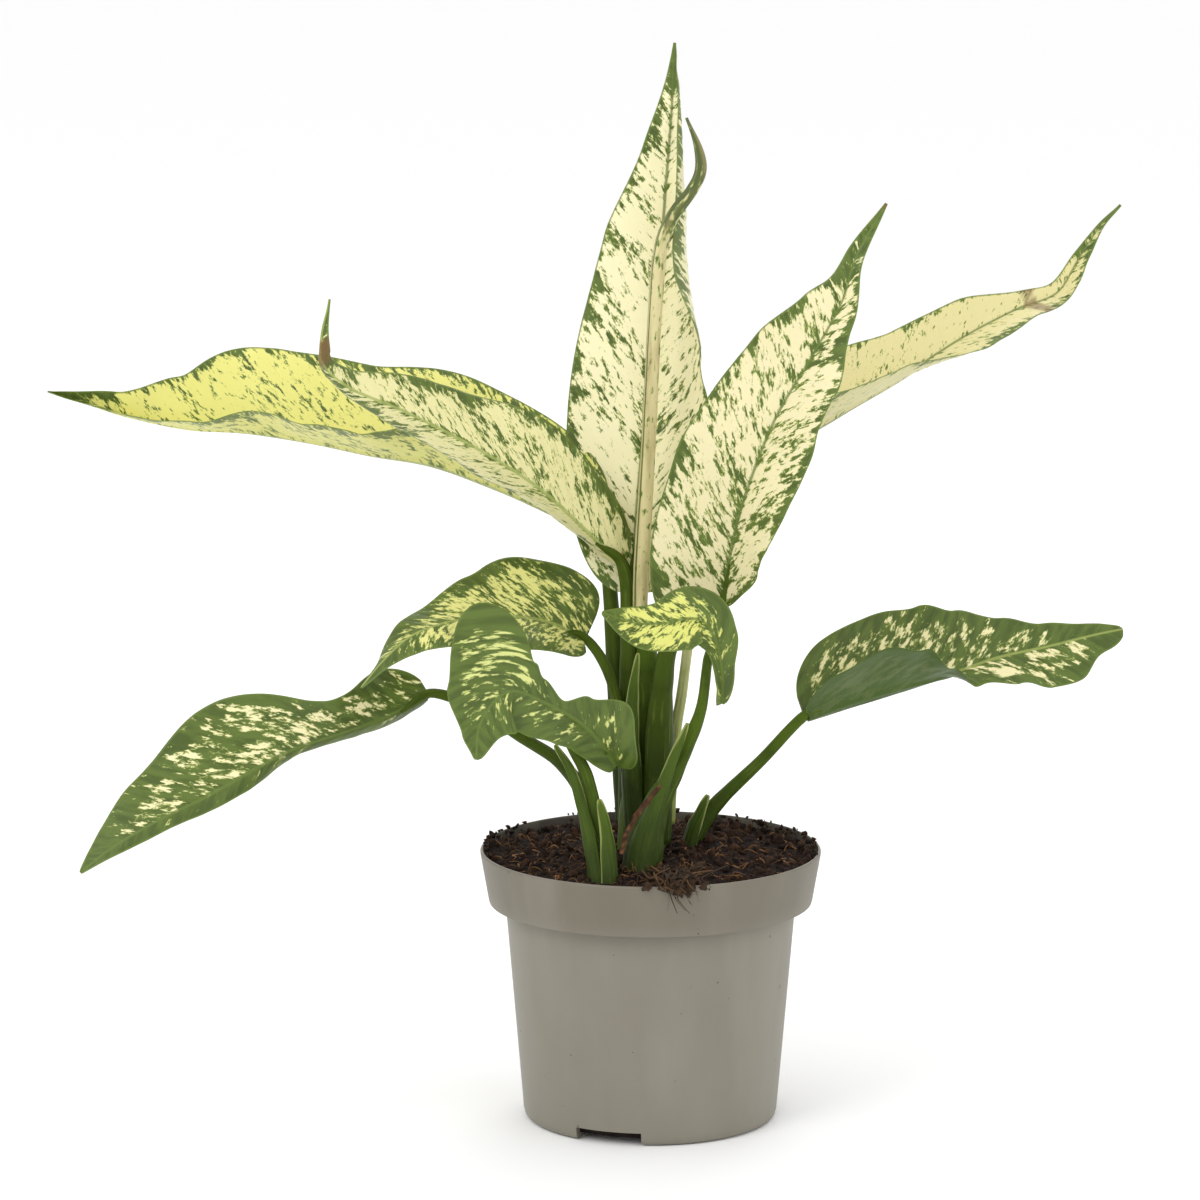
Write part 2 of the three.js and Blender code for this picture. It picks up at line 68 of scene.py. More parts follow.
# Each open leaf, in millimetres. rib: the midrib from base to tip. face: where the upper surface
# looks, from base to tip. taper: how bluntly the blade starts and ends. left and right: the halves
# beside the rib, seen from above with the tip ahead, with their width, the angle that they are
# folded up by at the rib, the angle that they then curl through, and how far they sweep forward.
# wave: height of the ripple along the margin, its waves along the blade, and its start.
# look: how the skin is marked. cream: how much of it is cream rather than green. tone: the cream's
# colour. hem: width of the greener margin. rib: the midrib's colour. grain: how fine the flecks are.
# dry: stretches that have dried brown, as shares of the length. back: the underside's colour and how
# strongly it shows.
LEAVES = {
    "upright": dict(
        rib=[
            (-6, 2, 187), (-5, 8, 212), (-2, 16, 246), (2, 20, 284), (5, 20, 326), (7, 16, 354),
            (8, 12, 378),
        ],
        face=[(-0.15, -1, 0.1), (-0.2, -1, 0), (-0.1, -1, 0.1)],
        taper=(0.5, 1.05),
        left=half([26, 27, 27, 26, 19, 12], [14, 6, 4, 0], [10, -8, -5, 0]),
        right=half(
            [26, 28, 30, 29, 27, 24, 14],
            [10, 5, -15, -20, -20, -10],
            [10, 25, 110, 170, 165, 120],
        ),
        wave=(1.5, 2.2, 0.1),
        look=dict(cream=0.06, tone="#f3ecc4", hem=5.5, rib=MID_GREEN, grain=0.85),
    ),
    "front_right": dict(
        rib=[
            (25, -12, 186), (28, -20, 208), (33, -29, 229), (42, -36, 254), (54, -41, 276),
            (64, -43, 295), (69, -42, 311), (79, -38, 328),
        ],
        face=[(-0.35, -1, 0.45), (-0.3, -1, 0.35), (-0.25, -1, 0.1)],
        taper=(0.42, 1),
        left=half(
            [33, 30, 27, 25, 25, 21, 11, 10],
            [18, 8, 8],
            [30, 0, -10],
            [-0.7, 0.15, 0.3, 0.2],
        ),
        right=half([10, 19, 23, 25, 22, 14, 8, 9], [25, 32, 25, 10], [10, -5, -5, 0]),
        wave=(1.8, 3.4, 0.55),
        look=dict(cream=0.035, tone="#e6ddb2", hem=4, rib=MID_GREEN, grain=0.78, dry=[(0.975, 1.01)]),
    ),
    "back_right": dict(
        rib=[
            (18, 0, 206), (39, 14, 231), (66, 29, 246), (89, 43, 257), (111, 56, 269),
            (131, 66, 278), (146, 73, 283), (154, 76, 295), (162, 78, 307), (169, 80, 314),
        ],
        face=[(-0.5, -0.6, 1), (-0.35, -0.75, 0.75), (-0.5, -0.7, 0.5)],
        taper=(0.55, 1.1),
        left=half([26, 28, 24, 22, 19, 17, 12, 8, 6], [15, 10, 15, 20], [0, 10, 10]),
        right=half([20, 20, 20, 18, 16, 14], [60, 60, 52, 15, 8, 10], [5, 5, 10, 10, 10, 10]),
        wave=(1.2, 4, 0.2),
        look=dict(cream=0.09, tone="#dbd29a", hem=2.5, rib=MID_GREEN, dry=[(0.74, 0.755)]),
    ),
    "long_left": dict(
        rib=[
            (-21, 4, 208), (-37, 7, 216), (-56, 10, 224), (-77, 13, 231), (-98, 16, 234),
            (-119, 18, 238), (-141, 20, 241), (-162, 22, 242), (-183, 24, 246), (-197, 26, 250),
            (-212, 28, 254),
        ],
        face=[(0.2, -0.8, 0.7), (0.1, -0.75, 0.7), (0.05, -0.8, 0.6), (0.05, -0.8, 0.6)],
        taper=(0.4, 0.75),
        left=half(
            [20, 22, 22, 21, 20, 18, 15, 12, 12],
            [60, 85, 88, 85, 70, 72, 88, 70, 62, 58, 50],
            [5, 6, 6, 5, 4, 5, 5, 5, 10],
        ),
        right=half(
            [33, 34, 34, 33, 34, 36, 26, 17, 12],
            [25, 20, 12, 8, 5, 5, 20, 35, 50],
            [0, 5, 10, 10, 10, 5, 20, 40, 60],
        ),
        wave=(1.2, 3.2, 0.3),
        look=dict(cream=0.065, tone="#e2de82", hem=4.5, rib=PALE_GREEN),
    ),
    "left_front": dict(
        rib=[
            (-10, -4, 197), (-23, -14, 212), (-37, -25, 227), (-52, -34, 239), (-69, -42, 250),
            (-85, -48, 259), (-102, -52, 267), (-111, -53, 275), (-112, -52, 283),
            (-109, -50, 297),
        ],
        face=[(0.5, -0.9, 0.6), (0.35, -0.6, 0.9), (0.3, -0.5, 0.9)],
        taper=(0.5, 1.3),
        left=half([14, 16, 12], [-95, -100, -100], [-40, -20, -20]),
        right=half([20, 24, 22, 20], [5, 10, 10], [10, 10, 5]),
        wave=(1, 3, 0.3),
        look=dict(cream=0.05, tone="#dfd9a0", hem=4.5, rib=PALE_GREEN, dry=[(0.84, 0.905)]),
    ),
    "mid_left": dict(
        rib=[
            (-23, -4, 171), (-34, -10, 178), (-46, -18, 182), (-58, -28, 184), (-70, -38, 184),
            (-82, -47, 181), (-91, -53, 174), (-99, -57, 165),
        ],
        face=[(0.2, -0.8, 0.9), (0.1, -0.55, 1), (-0.2, -0.75, 0.8), (-0.5, -0.7, 0.7)],
        taper=(0.36, 0.8),
        left=half([13, 19, 19, 11, 8], [10, 5, 0], [-10, -10, -10]),
        right=half([27, 25, 16, 13, 12, 8], [20, 15, -10, -20], [10, 10, -30]),
        wave=(1.5, 2.6, 0.3),
        look=dict(cream=-0.005, tone="#e0dd8c", hem=6, rib=PALE_GREEN),
    ),
    "front_small": dict(
        rib=[
            (-12, -28, 131), (-17, -33, 140), (-25, -38, 149), (-37, -43, 157), (-47, -48, 162),
            (-54, -52, 159), (-59, -56, 151), (-60, -57, 140),
        ],
        face=[(-0.4, -1, 0.3), (-0.3, -0.8, 0.6), (-0.1, -1, 0.35), (-0.2, -1, 0.2)],
        taper=(0.36, 0.62),
        left=half(
            [7, 8, 9, 11, 13, 15, 17, 14, 12],
            [30, 10, 0, -5],
            [20, -20, -20, -10],
            [-0.2, 0, 0.2, 0.2],
        ),
        right=half(
            [13, 15, 18, 9, 3, 7, 12, 39, 24, 11, 6],
            [10, 20, 24, 18],
            [30, 0, -5, -10],
            [-0.3, 0.1, 0.2, 0.4, -0.3, -0.05, 0.1],
        ),
        wave=(0.6, 2, 0.3),
        look=dict(cream=-0.09, tone="#d5d98a", hem=7, rib=MID_GREEN, grain=0.8),
    ),
    "right_small": dict(
        rib=[
            (24, -36, 155), (24, -36, 166), (22, -34, 176), (18, -34, 183), (12, -37, 185),
            (3, -41, 184), (-7, -44, 185), (-17, -47, 189),
        ],
        face=[(0.75, -1, 0.35), (0.6, -1, 0.5), (0, -0.8, 0.9), (0, -0.7, 1), (0, -0.6, 1)],
        taper=(0.45, 0.7),
        left=half(
            [5, 6, 8, 13, 16, 11],
            [25, 20, 10, -5, -10, -10],
            [20, 10, 0, -10, 0, 0],
            [0, 0, 0.1, 0.1],
        ),
        right=half(
            [5, 5, 8, 11, 9, 10, 8],
            [25, 20, 15, 25, 15, 10],
            [20, 20, 20, 10, 0, 0],
            [0, 0, 0.2, 0.2],
        ),
        wave=(0.6, 2, 0.3),
        look=dict(cream=0.0, tone="#dcdd7a", hem=4, rib=MID_GREEN),
    ),
    "low_left": dict(
        rib=[
            (-77, -12, 153), (-91, -18, 147), (-106, -26, 143), (-123, -35, 139), (-138, -45, 133),
            (-153, -54, 126), (-168, -62, 120), (-183, -68, 112), (-194, -72, 104),
        ],
        face=[(0.1, -0.75, 0.9), (-0.1, -0.8, 0.7), (-0.4, -0.8, 0.6)],
        taper=(0.4, 0.8),
        left=half([10, 6, 5, 7, 8], [-95, -90, -30, 0], [-20, -10, 0]),
        right=half([21, 17, 28, 26, 19], [10, 72, 12, 5, 5], [5, 10, 10, 10, -10]),
        wave=(1.6, 2.4, 0.05),
        look=dict(cream=-0.04, tone="#efe6b6", hem=8, rib=MID_GREEN, grain=0.7),
    ),
    "low_right": dict(
        rib=[
            (55, 10, 141), (70, 14, 145), (88, 20, 149), (106, 26, 153), (124, 32, 158),
            (142, 37, 161), (157, 41, 164), (169, 44, 166),
        ],
        face=[(-0.2, -0.6, 1), (0.1, -0.7, 1), (0.1, -0.8, 0.8)],
        taper=(0.42, 0.6),
        left=half([28, 31, 31, 27, 21, 16, 11, 9, 9], [30, 22, 5], [10, 0, 0]),
        right=half(
            [22, 28, 30, 23, 14, 9, 14, 19, 21, 15, 18],
            [80, 85, 88, 82, 62, 5, -8, -10, -10, -10, -10],
            [-10, -20, -20, -10, 0, 0, 0, 0, -10],
        ),
        wave=(1.4, 2.8, 0.5),
        look=dict(
            cream=-0.045,
            tone="#ede4b4",
            hem=7,
            rib=PALE_GREEN,
            grain=0.6,
            back=(tint("#3d560a"), 0.95),
        ),
    ),
}

SPAN_STEPS = 40
BLADE_STEPS = 120
BLADE_ACROSS = 26
STUB_WIDTH = 0.5
BLADE_THICKNESS = 0.5
VEIN_PITCH = 6.5
VEIN_SLOPE = 1.1


# ---- numbers along a curve


def unit(vectors):
    return vectors / np.linalg.norm(vectors, axis=-1, keepdims=True)


def along(values, t):
    """Values at t, from 0 to 1, of a constant or of evenly spaced values joined smoothly."""
    values = np.asarray(values, float)
    if values.ndim == 0:
        return np.full(np.shape(t), float(values))
    last = len(values) - 1
    i = np.clip(np.floor(t * last).astype(int), 0, last - 1)
    f = t * last - i
    f = f * f * (3 - 2 * f)
    if values.ndim > 1:
        f = f[..., None]
    return values[i] * (1 - f) + values[i + 1] * f


def smooth_path(points, count):
    """count points evenly spaced along a Catmull-Rom curve through the points, and its length."""
    p = np.asarray(points, float)
    p = np.vstack([2 * p[0] - p[1], p, 2 * p[-1] - p[-2]])
    f = np.linspace(0, 1, SPAN_STEPS, endpoint=False)[:, None]
    pieces = []
    for a, b, c, d in zip(p, p[1:], p[2:], p[3:]):
        bend = (c - a) * f + (2 * a - 5 * b + 4 * c - d) * f**2 + (3 * b - a - 3 * c + d) * f**3
        pieces.append(b + 0.5 * bend)
    fine = np.vstack([*pieces, p[-2:-1]])
    run = np.concatenate([[0], np.cumsum(np.linalg.norm(np.diff(fine, axis=0), axis=1))])
    even = np.linspace(0, run[-1], count)
    return np.stack([np.interp(even, run, fine[:, k]) for k in range(3)], 1), run[-1]


def noise3(points, size, seed=0):
    """Smooth noise from -1 to 1, with lumps about size across."""
    p = np.asarray(points, float) / size + 17.31 * (seed + 1)
    cell = np.floor(p).astype(np.int64)
    f = p - cell
    f = f * f * (3 - 2 * f)
    total = 0
    for corner in itertools.product((0, 1), repeat=3):
        q = cell + corner
        h = (q[..., 0] * 73856093) ^ (q[..., 1] * 19349663) ^ (q[..., 2] * 83492791)
        h = (h * 1274126177) & 0xFFFFFFFF
        h = (h ^ (h >> 13)) & 0xFFFF
        share = np.prod(np.where(corner, f, 1 - f), axis=-1)
        total = total + share * (h / 32767.5 - 1)
    return total


# ---- meshes


def new_object(name, points, faces):
    """A mesh object from points in millimetres."""
    mesh = bpy.data.meshes.new(name)
    mesh.from_pydata((np.asarray(points) * MM).tolist(), [], [list(map(int, f)) for f in faces])
    made = bpy.data.objects.new(name, mesh)
    bpy.context.collection.objects.link(made)
    return made


def new_piece(name, points, faces, material, node=None, slot=None, **attributes):
    """A smooth mesh piece, which rides on the one body."""
    piece = new_object(name, points, faces)
    mesh = piece.data
    for key, values in attributes.items():
        made = mesh.attributes.new(key, "FLOAT_VECTOR", "POINT")
        made.data.foreach_set("vector", np.asarray(values, float).ravel())
    mesh.polygons.foreach_set("use_smooth", [True] * len(mesh.polygons))
    mesh.materials.append(material)
    mesh.validate()
    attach(piece, "root")
    if node:
        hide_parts(*([node] if isinstance(node, str) else node))
    return piece


def grid_faces(rows, columns, start=0, wrap=False, flip=False):
    """Quads of a grid of points, row after row. With wrap, each row is a closed loop."""
    r, c = np.meshgrid(np.arange(rows - 1), np.arange(columns if wrap else columns - 1), indexing="ij")
    a = start + r * columns + c
    b = start + r * columns + (c + 1) % columns
    quads = np.stack([a, b, b + columns, a + columns], -1).reshape(-1, 4)
    return quads[:, ::-1] if flip else quads


def tube_points(path, radii, sides):
    """Rings of points round a path, their turns and their shares of its length. radii is keyed along it."""
    ahead = unit(np.gradient(path, axis=0))
    side = np.zeros_like(path)
    last = unit(np.cross(ahead[0], [0.3, 1, 0.2]))
    for i, tangent in enumerate(ahead):
        last = unit(last - np.dot(last, tangent) * tangent)
        side[i] = last
    over = np.cross(ahead, side)
    t = np.linspace(0, 1, len(path))
    radius = along(radii, t)[:, None, None]
    turn = np.linspace(0, 2 * math.pi, sides, endpoint=False)
    ring = np.cos(turn)[None, :, None] * side[:, None] + np.sin(turn)[None, :, None] * over[:, None]
    return path[:, None] + radius * ring, turn, t


def tube_faces(rows, sides):
    """A closed tube: its wall and one many-sided face at each end."""
    faces = [list(f) for f in grid_faces(rows, sides, wrap=True)]
    first = list(range(sides))
    faces.append(first[::-1])
    faces.append([i + (rows - 1) * sides for i in first])
    return faces


class Heap:
    """Points, faces and tones of many small bodies, gathered into one mesh."""

    def __init__(self):
        self.points = []
        self.faces = []
        self.tones = []
        self.count = 0

    def add(self, points, faces, tone):
        points = np.asarray(points).reshape(-1, 3)
        self.points.append(points)
        self.faces += [[int(i) + self.count for i in f] for f in faces]
        self.tones.append(np.tile([tone, 0.0, 0.0], (len(points), 1)))
        self.count += len(points)

    def piece(self, name, material, **words):
        points, tones = np.vstack(self.points), np.vstack(self.tones)
        return new_piece(name, points, self.faces, material, grain=tones, **words)


# ---- materials


def node(tree, kind, inputs=None, **settings):
    made = tree.nodes.new("ShaderNode" + kind)
    for key, value in settings.items():
        setattr(made, key, value)
    for key, value in (inputs or {}).items():
        if isinstance(value, bpy.types.NodeSocket):
            tree.links.new(value, made.inputs[key])
        else:
            made.inputs[key].default_value = value
    return made


def calc(tree, operation, a, b=0.0, c=0.0, clamp=False):
    return node(tree, "Math", {0: a, 1: b, 2: c}, operation=operation, use_clamp=clamp).outputs[0]


def times_plus(tree, value, times, plus, clamp=False):
    return calc(tree, "MULTIPLY_ADD", value, times, plus, clamp)


def smooth_step(tree, value, low, high):
    settings = dict(interpolation_type="SMOOTHSTEP", clamp=True)
    inputs = {"Value": value, "From Min": low, "From Max": high, "To Min": 0.0, "To Max": 1.0}
    return node(tree, "MapRange", inputs, **settings).outputs["Result"]


def blend(tree, share, a, b):
    inputs = {"Factor": share, 6: a, 7: b}
    return node(tree, "Mix", inputs, data_type="RGBA").outputs[2]


def lay(tree, where, strength, colour, over):
    """The colour with another laid over it in places, at the given strength."""
    return blend(tree, calc(tree, "MULTIPLY", where, strength), colour, over)


def noise_of(tree, vector, stretch, detail=2.0, roughness=0.5):
    scaled = node(tree, "VectorMath", {0: vector, 1: stretch}, operation="MULTIPLY").outputs[0]
    inputs = {"Vector": scaled, "Scale": 1.0, "Detail": detail, "Roughness": roughness}
    return node(tree, "TexNoise", inputs).outputs[0]


def attribute(tree, name):
    return node(tree, "Attribute", attribute_name=name).outputs["Vector"]


def split(tree, vector):
    return node(tree, "SeparateXYZ", {0: vector}).outputs


def ramp(tree, value, stops):
    made = node(tree, "ValToRGB", {0: value})
    points = made.color_ramp.elements
    while len(points) < len(stops):
        points.new(0.5)
    for point, (position, colour) in zip(points, stops):
        point.position = position
        point.color = colour
    return made.outputs[0]


def surface(name, roughness, specular=0.5, colour=None):
    """A new material with a Principled shader: its tree, and the shader."""
    made = bpy.data.materials.new(name)
    made.use_nodes = True
    shader = made.node_tree.nodes["Principled BSDF"]
    shader.inputs["Roughness"].default_value = roughness
    shader.inputs["Specular IOR Level"].default_value = specular
    if colour:
        shader.inputs["Base Color"].default_value = colour
    return made, made.node_tree, shader


def paint(tree, shader, colour, height, distance):
    """Gives the shader its colour, and bumps of a height times distance, in metres."""
    tree.links.new(colour, shader.inputs["Base Color"])
    bump = node(tree, "Bump", {"Height": height, "Distance": distance})
    tree.links.new(bump.outputs[0], shader.inputs["Normal"])


def creaminess(tree, look, at, place, patch, fine):
    """How cream a leaf's skin is, round 0.5: less in its hem, beside the rib and at the tip."""
    edge, rib, t = place
    grain = look.get("grain", 1)
    fleck = noise_of(tree, at, (0.52 * grain, 0.36 * grain, 1), detail=7, roughness=0.68)
    uneven_edge = times_plus(tree, patch, 9.0, calc(tree, "ADD", edge, -4.5))
    hem = smooth_step(tree, uneven_edge, 1.1 * look["hem"], 0.2 * look["hem"])
    beside_rib = smooth_step(tree, times_plus(tree, fine, 2.0, rib), 3.4, 1.2)
    tip = smooth_step(tree, t, 0.84, 0.98)
    cream = times_plus(tree, patch, 0.32, calc(tree, "ADD", fleck, look["cream"] - 0.16))
    for where, change in [(hem, -0.115), (beside_rib, -0.05), (tip, -0.08)]:
        cream = times_plus(tree, where, change, cream)
    return cream


DRY_START = 0.025
DRY_BLUR = 0.02


def dry_band(tree, t, soft, low, high):
    """Where a leaf has dried: a band across it, with ragged sides."""
    ragged = times_plus(tree, soft, 0.05, t)
    rise = smooth_step(tree, ragged, low + DRY_START, low + DRY_START + DRY_BLUR)
    fall = smooth_step(tree, ragged, high + DRY_START + DRY_BLUR, high + DRY_START)
    return calc(tree, "MULTIPLY", rise, fall)


def blade_material(name, look):
    """A leaf's skin: cream broken up by green flecks, with a pale or green rib and a green edge."""
    made, tree, shader = surface(name, 0.42, 0.35)
    at = attribute(tree, "leaf_at")
    place = split(tree, attribute(tree, "leaf_place"))
    under = split(tree, attribute(tree, "leaf_side"))[0]
    edge, rib, t = place
    patch = noise_of(tree, at, (0.1, 0.05, 1))
    fine = noise_of(tree, at, (1.5, 0.9, 1), detail=3)
    soft = noise_of(tree, at, (0.3, 0.12, 1), detail=3)

    cream = creaminess(tree, look, at, place, patch, fine)
    fresh = times_plus(tree, smooth_step(tree, soft, 0.35, 0.65), 0.6, 0.15)
    green = blend(tree, fresh, DARK_GREEN, MID_GREEN)
    colour = blend(tree, smooth_step(tree, cream, 0.445, 0.485), green, PALE_GREEN)
    colour = blend(tree, smooth_step(tree, cream, 0.478, 0.52), colour, tint(look["tone"]))
    line = smooth_step(tree, times_plus(tree, t, 0.5, rib), 1.1, 0.6)
    colour = lay(tree, line, 0.8, colour, look["rib"])
    rim = smooth_step(tree, times_plus(tree, fine, 0.6, edge), 1.05, 0.6)
    colour = lay(tree, rim, 0.8, colour, MID_GREEN)
    back, strength = look.get("back", (tint("#a9b184"), 0.2))
    colour = lay(tree, under, strength, colour, back)
    for low, high in look.get("dry", []):
        colour = lay(tree, dry_band(tree, t, soft, low, high), 0.75, colour, DRY_BROWN)

    tree.links.new(times_plus(tree, soft, 0.3, 0.3), shader.inputs["Roughness"])
    shader.inputs["Subsurface Weight"].default_value = 0.2
    shader.inputs["Subsurface Radius"].default_value = (1.0, 1.0, 0.3)
    shader.inputs["Subsurface Scale"].default_value = 0.0008
    paint(tree, shader, colour, noise_of(tree, at, (2.2, 0.9, 1)), 0.00012)
    return made


def stalk_material(name, low, high):
    """A leaf stalk: colour streaked along its length."""
    made, tree, shader = surface(name, 0.5, 0.12)
    at = attribute(tree, "stalk_at")
    t = split(tree, at)[2]
    lines = noise_of(tree, at, (1.5, 0.035, 0), detail=4, roughness=0.65)
    blotch = noise_of(tree, at, (0.4, 0.1, 0), detail=3)
    colour = blend(tree, smooth_step(tree, t, 0.0, 0.8), tint(low), tint(high))
    colour = lay(tree, smooth_step(tree, lines, 0.52, 0.68), 0.5, colour, tint("#6c7c36"))
    colour = lay(tree, smooth_step(tree, blotch, 0.45, 0.7), 0.5, colour, tint(low))
    paint(tree, shader, colour, lines, 0.0004)
    return made


def sheath_material(name):
    """A stalk's sheath: ribbed along its length, dark below, partly its own colour and partly painted shade
    under the leaves, greener above, with a thin pale edge.
    """
    made, tree, shader = surface(name, 0.5, 0.15)
    fresh = tint("#4d621b")
    at = attribute(tree, "leaf_at")
    edge, _, t = split(tree, attribute(tree, "leaf_place"))
    ribs = noise_of(tree, at, (0.05, 1.6, 1), detail=4, roughness=0.6)
    soft = noise_of(tree, at, (0.12, 0.3, 1), detail=3)
    # Darker towards the foot: partly the sheath's own colour, partly painted shade from the leaves above.
    share = times_plus(tree, soft, 0.6, calc(tree, "ADD", t, -0.3), clamp=True)
    colour = blend(tree, share, tint("#222e08"), fresh)
    colour = lay(tree, smooth_step(tree, ribs, 0.5, 0.7), 0.5, colour, fresh)
    rim = smooth_step(tree, times_plus(tree, ribs, 0.8, edge), 1.25, 0.6)
    colour = lay(tree, rim, 0.75, colour, tint("#a3ab66"))
    paint(tree, shader, colour, ribs, 0.0005)
    return made


def new_leaf_material():
    """The rolled leaf's skin: cream, green at the bottom and the tip, with a dark seam."""
    made, tree, shader = surface("new_leaf_skin", 0.4)
    at = attribute(tree, "stalk_at")
    around, _, t = split(tree, at)
    fleck = noise_of(tree, at, (1.3, 0.2, 0), detail=4, roughness=0.6)
    shade = noise_of(tree, at, (0.7, 0.04, 0))
    value = times_plus(tree, smooth_step(tree, t, 0.66, 0.86), -0.24, fleck)
    value = times_plus(tree, smooth_step(tree, t, 0.1, 0.0), -0.1, value)
    stops = [(0.32, DARK_GREEN), (0.36, MID_GREEN), (0.39, PALE_GREEN), (0.43, tint("#d3c893"))]
    colour = ramp(tree, value, stops)
    colour = lay(tree, smooth_step(tree, shade, 0.4, 0.7), 0.6, colour, tint("#988a55"))
    seam = smooth_step(tree, calc(tree, "ABSOLUTE", around), 2.55, 2.75)
    colour = lay(tree, seam, 0.9, colour, DARK_GREEN)
    paint(tree, shader, colour, fleck, 0.0002)
    return made


def pot_material():
    """Matte taupe-grey plastic, darker at the collar as painted shade and soil dust, specked with soil,
    paler where it is rubbed.
    """
    made, tree, shader = surface("pot_plastic", 0.5, 0.4)
    coordinates = node(tree, "TexCoord").outputs
    at = coordinates["Object"]
    mottle = noise_of(tree, at, (60, 60, 25), detail=4)
    dust = noise_of(tree, at, (300, 300, 300), detail=3, roughness=0.65)
    smear = noise_of(tree, at, (35, 35, 9), detail=4)
    # The collar band is painted darker than the wall: partly painted shade, partly soil dust.
    collar = smooth_step(tree, split(tree, at)[2], 0.068, 0.084)
    wall = blend(tree, mottle, tint("#7a7567"), tint("#878377"))
    band = blend(tree, mottle, tint("#6a6456"), tint("#767062"))
    colour = blend(tree, collar, wall, band)
    colour = blend(tree, smooth_step(tree, dust, 0.715, 0.745), colour, tint("#33261b"))
    colour = lay(tree, smooth_step(tree, smear, 0.5, 0.75), 0.16, colour, tint("#a8a498"))

    # The inside is soiled: there the surface faces the axis.
    away = node(tree, "VectorMath", {0: coordinates["Normal"], 1: at}, operation="DOT_PRODUCT")
    inside = smooth_step(tree, away.outputs["Value"], -0.01, -0.03)
    soiled = calc(tree, "MULTIPLY", inside, smooth_step(tree, mottle, 0.3, 0.6))
    colour = lay(tree, soiled, 0.8, colour, tint("#2b221b"))
    tree.links.new(times_plus(tree, smear, 0.25, 0.36), shader.inputs["Roughness"])
    paint(tree, shader, colour, noise_of(tree, at, (1400, 1400, 700)), 0.00006)
    return made


def soil_material(name="peat", dark="#120b08", light="#30201a"):
    """Peat, lighter in lumps and where the grain attribute says."""
    made, tree, shader = surface(name, 0.95, 0.25)
    at = node(tree, "TexCoord").outputs["Object"]
    lumps = noise_of(tree, at, (260, 260, 260), detail=5, roughness=0.7)
    crumbs = noise_of(tree, at, (900, 900, 900), detail=5, roughness=0.7)
    grain = split(tree, attribute(tree, "grain"))[0]
    share = times_plus(tree, grain, 0.6, smooth_step(tree, lumps, 0.35, 0.75), clamp=True)
    paint(tree, shader, blend(tree, share, tint(dark), tint(light)), crumbs, 0.0009)
    return made


def fibre_material(name, dark, light):
    """Dry fibre, lighter where the grain attribute says."""
    made, tree, shader = surface(name, 0.85, 0.3)
    at = node(tree, "TexCoord").outputs["Object"]
    grain = split(tree, attribute(tree, "grain"))[0]
    noise = noise_of(tree, at, (700, 700, 700))
    share = times_plus(tree, noise, 0.3, calc(tree, "MULTIPLY", grain, 0.75), clamp=True)
    paint(tree, shader, blend(tree, share, tint(dark), tint(light)), noise, 0.0002)
    return made


# ---- leaves


def outline(taper, t):
    """Share of its full width that a blade has at t."""
    base, tip = taper
    widest = base / (base + tip)
    return (t / widest) ** base * ((1 - t) / (1 - widest)) ** tip


def blade_shape(leaf, steps=BLADE_STEPS, across=BLADE_ACROSS):
    """Points of a blade's middle surface, and where each lies on the blade."""
    rib, length = smooth_path(leaf["rib"], steps + 1)
    t = np.linspace(0, 1, steps + 1)
    ahead = unit(np.gradient(rib, axis=0))
    face = along(leaf["face"], t)
    up = unit(face - np.sum(face * ahead, 1, keepdims=True) * ahead)
    right = np.cross(ahead, up)
    height, waves, start = leaf["wave"]
    points, beside, edge, veins = [], [], [], []
    for s in np.linspace(-1, 1, 2 * across + 1):
        d = abs(s)
        hand = np.sign(s)
        side = leaf["left"] if s < 0 else leaf["right"]
        width = along(side["width"], t) * outline(leaf["taper"], t) + STUB_WIDTH
        fold = np.radians(along(side["fold"], t))
        curl = np.radians(along(side["curl"], t))
        curl = np.where(np.abs(curl) < 1e-3, 1e-3, curl)
        angle = fold + curl * d
        out = width / curl * (np.sin(angle) - np.sin(fold))
        phase = waves * t + start + (0.5 if s < 0 else 0)
        ripple = height * d * d * np.sin(2 * np.pi * phase) * np.sin(np.pi * t)
        rise = width / curl * (np.cos(fold) - np.cos(angle)) + ripple
        forward = along(side["sweep"], t) * width * d**1.3
        off = (hand * out)[:, None] * right + rise[:, None] * up + forward[:, None] * ahead
        points.append(rib + off)
        beside.append(s * width)
        edge.append((1 - d) * width)
        veins.append(t * length + forward - VEIN_SLOPE * (1 - 0.12 * d) * d * width)
    points = np.stack(points, 1)
    facts = dict(beside=np.stack(beside, 1), edge=np.stack(edge, 1), veins=np.stack(veins, 1))
    facts["t"] = np.broadcast_to(t[:, None], facts["edge"].shape)
    return points, facts


def surface_normals(points):
    down = np.gradient(points, axis=0)
    over = np.gradient(points, axis=1)
    normal = np.cross(over, down)
    size = np.linalg.norm(normal, axis=-1, keepdims=True)
    return normal / np.maximum(size, 1e-9)


def relief(points, facts, seed):
    """Height of the skin over the smooth blade: side veins, small buckles and the rib's groove."""
    beside = np.abs(facts["beside"])
    inside = np.clip(beside / 4, 0, 1) * np.clip(facts["edge"] / 5, 0, 1)
    vein = np.abs(np.sin(np.pi * facts["veins"] / VEIN_PITCH + 1.2 * noise3(points, 18, seed)))
    quilt = 0.34 * (vein**0.7 - 0.6) * inside
    fold = 0.35 * noise3(points, 11, seed + 1) * np.clip(beside / 8, 0, 1)
    fret = 0.3 * noise3(points, 5, seed + 2) * np.clip(1 - facts["edge"] / 4, 0, 1)
    groove = -0.35 * np.exp(-((beside / 0.8) ** 2)) * (1 - facts["t"])
    return quilt + fold + fret + groove


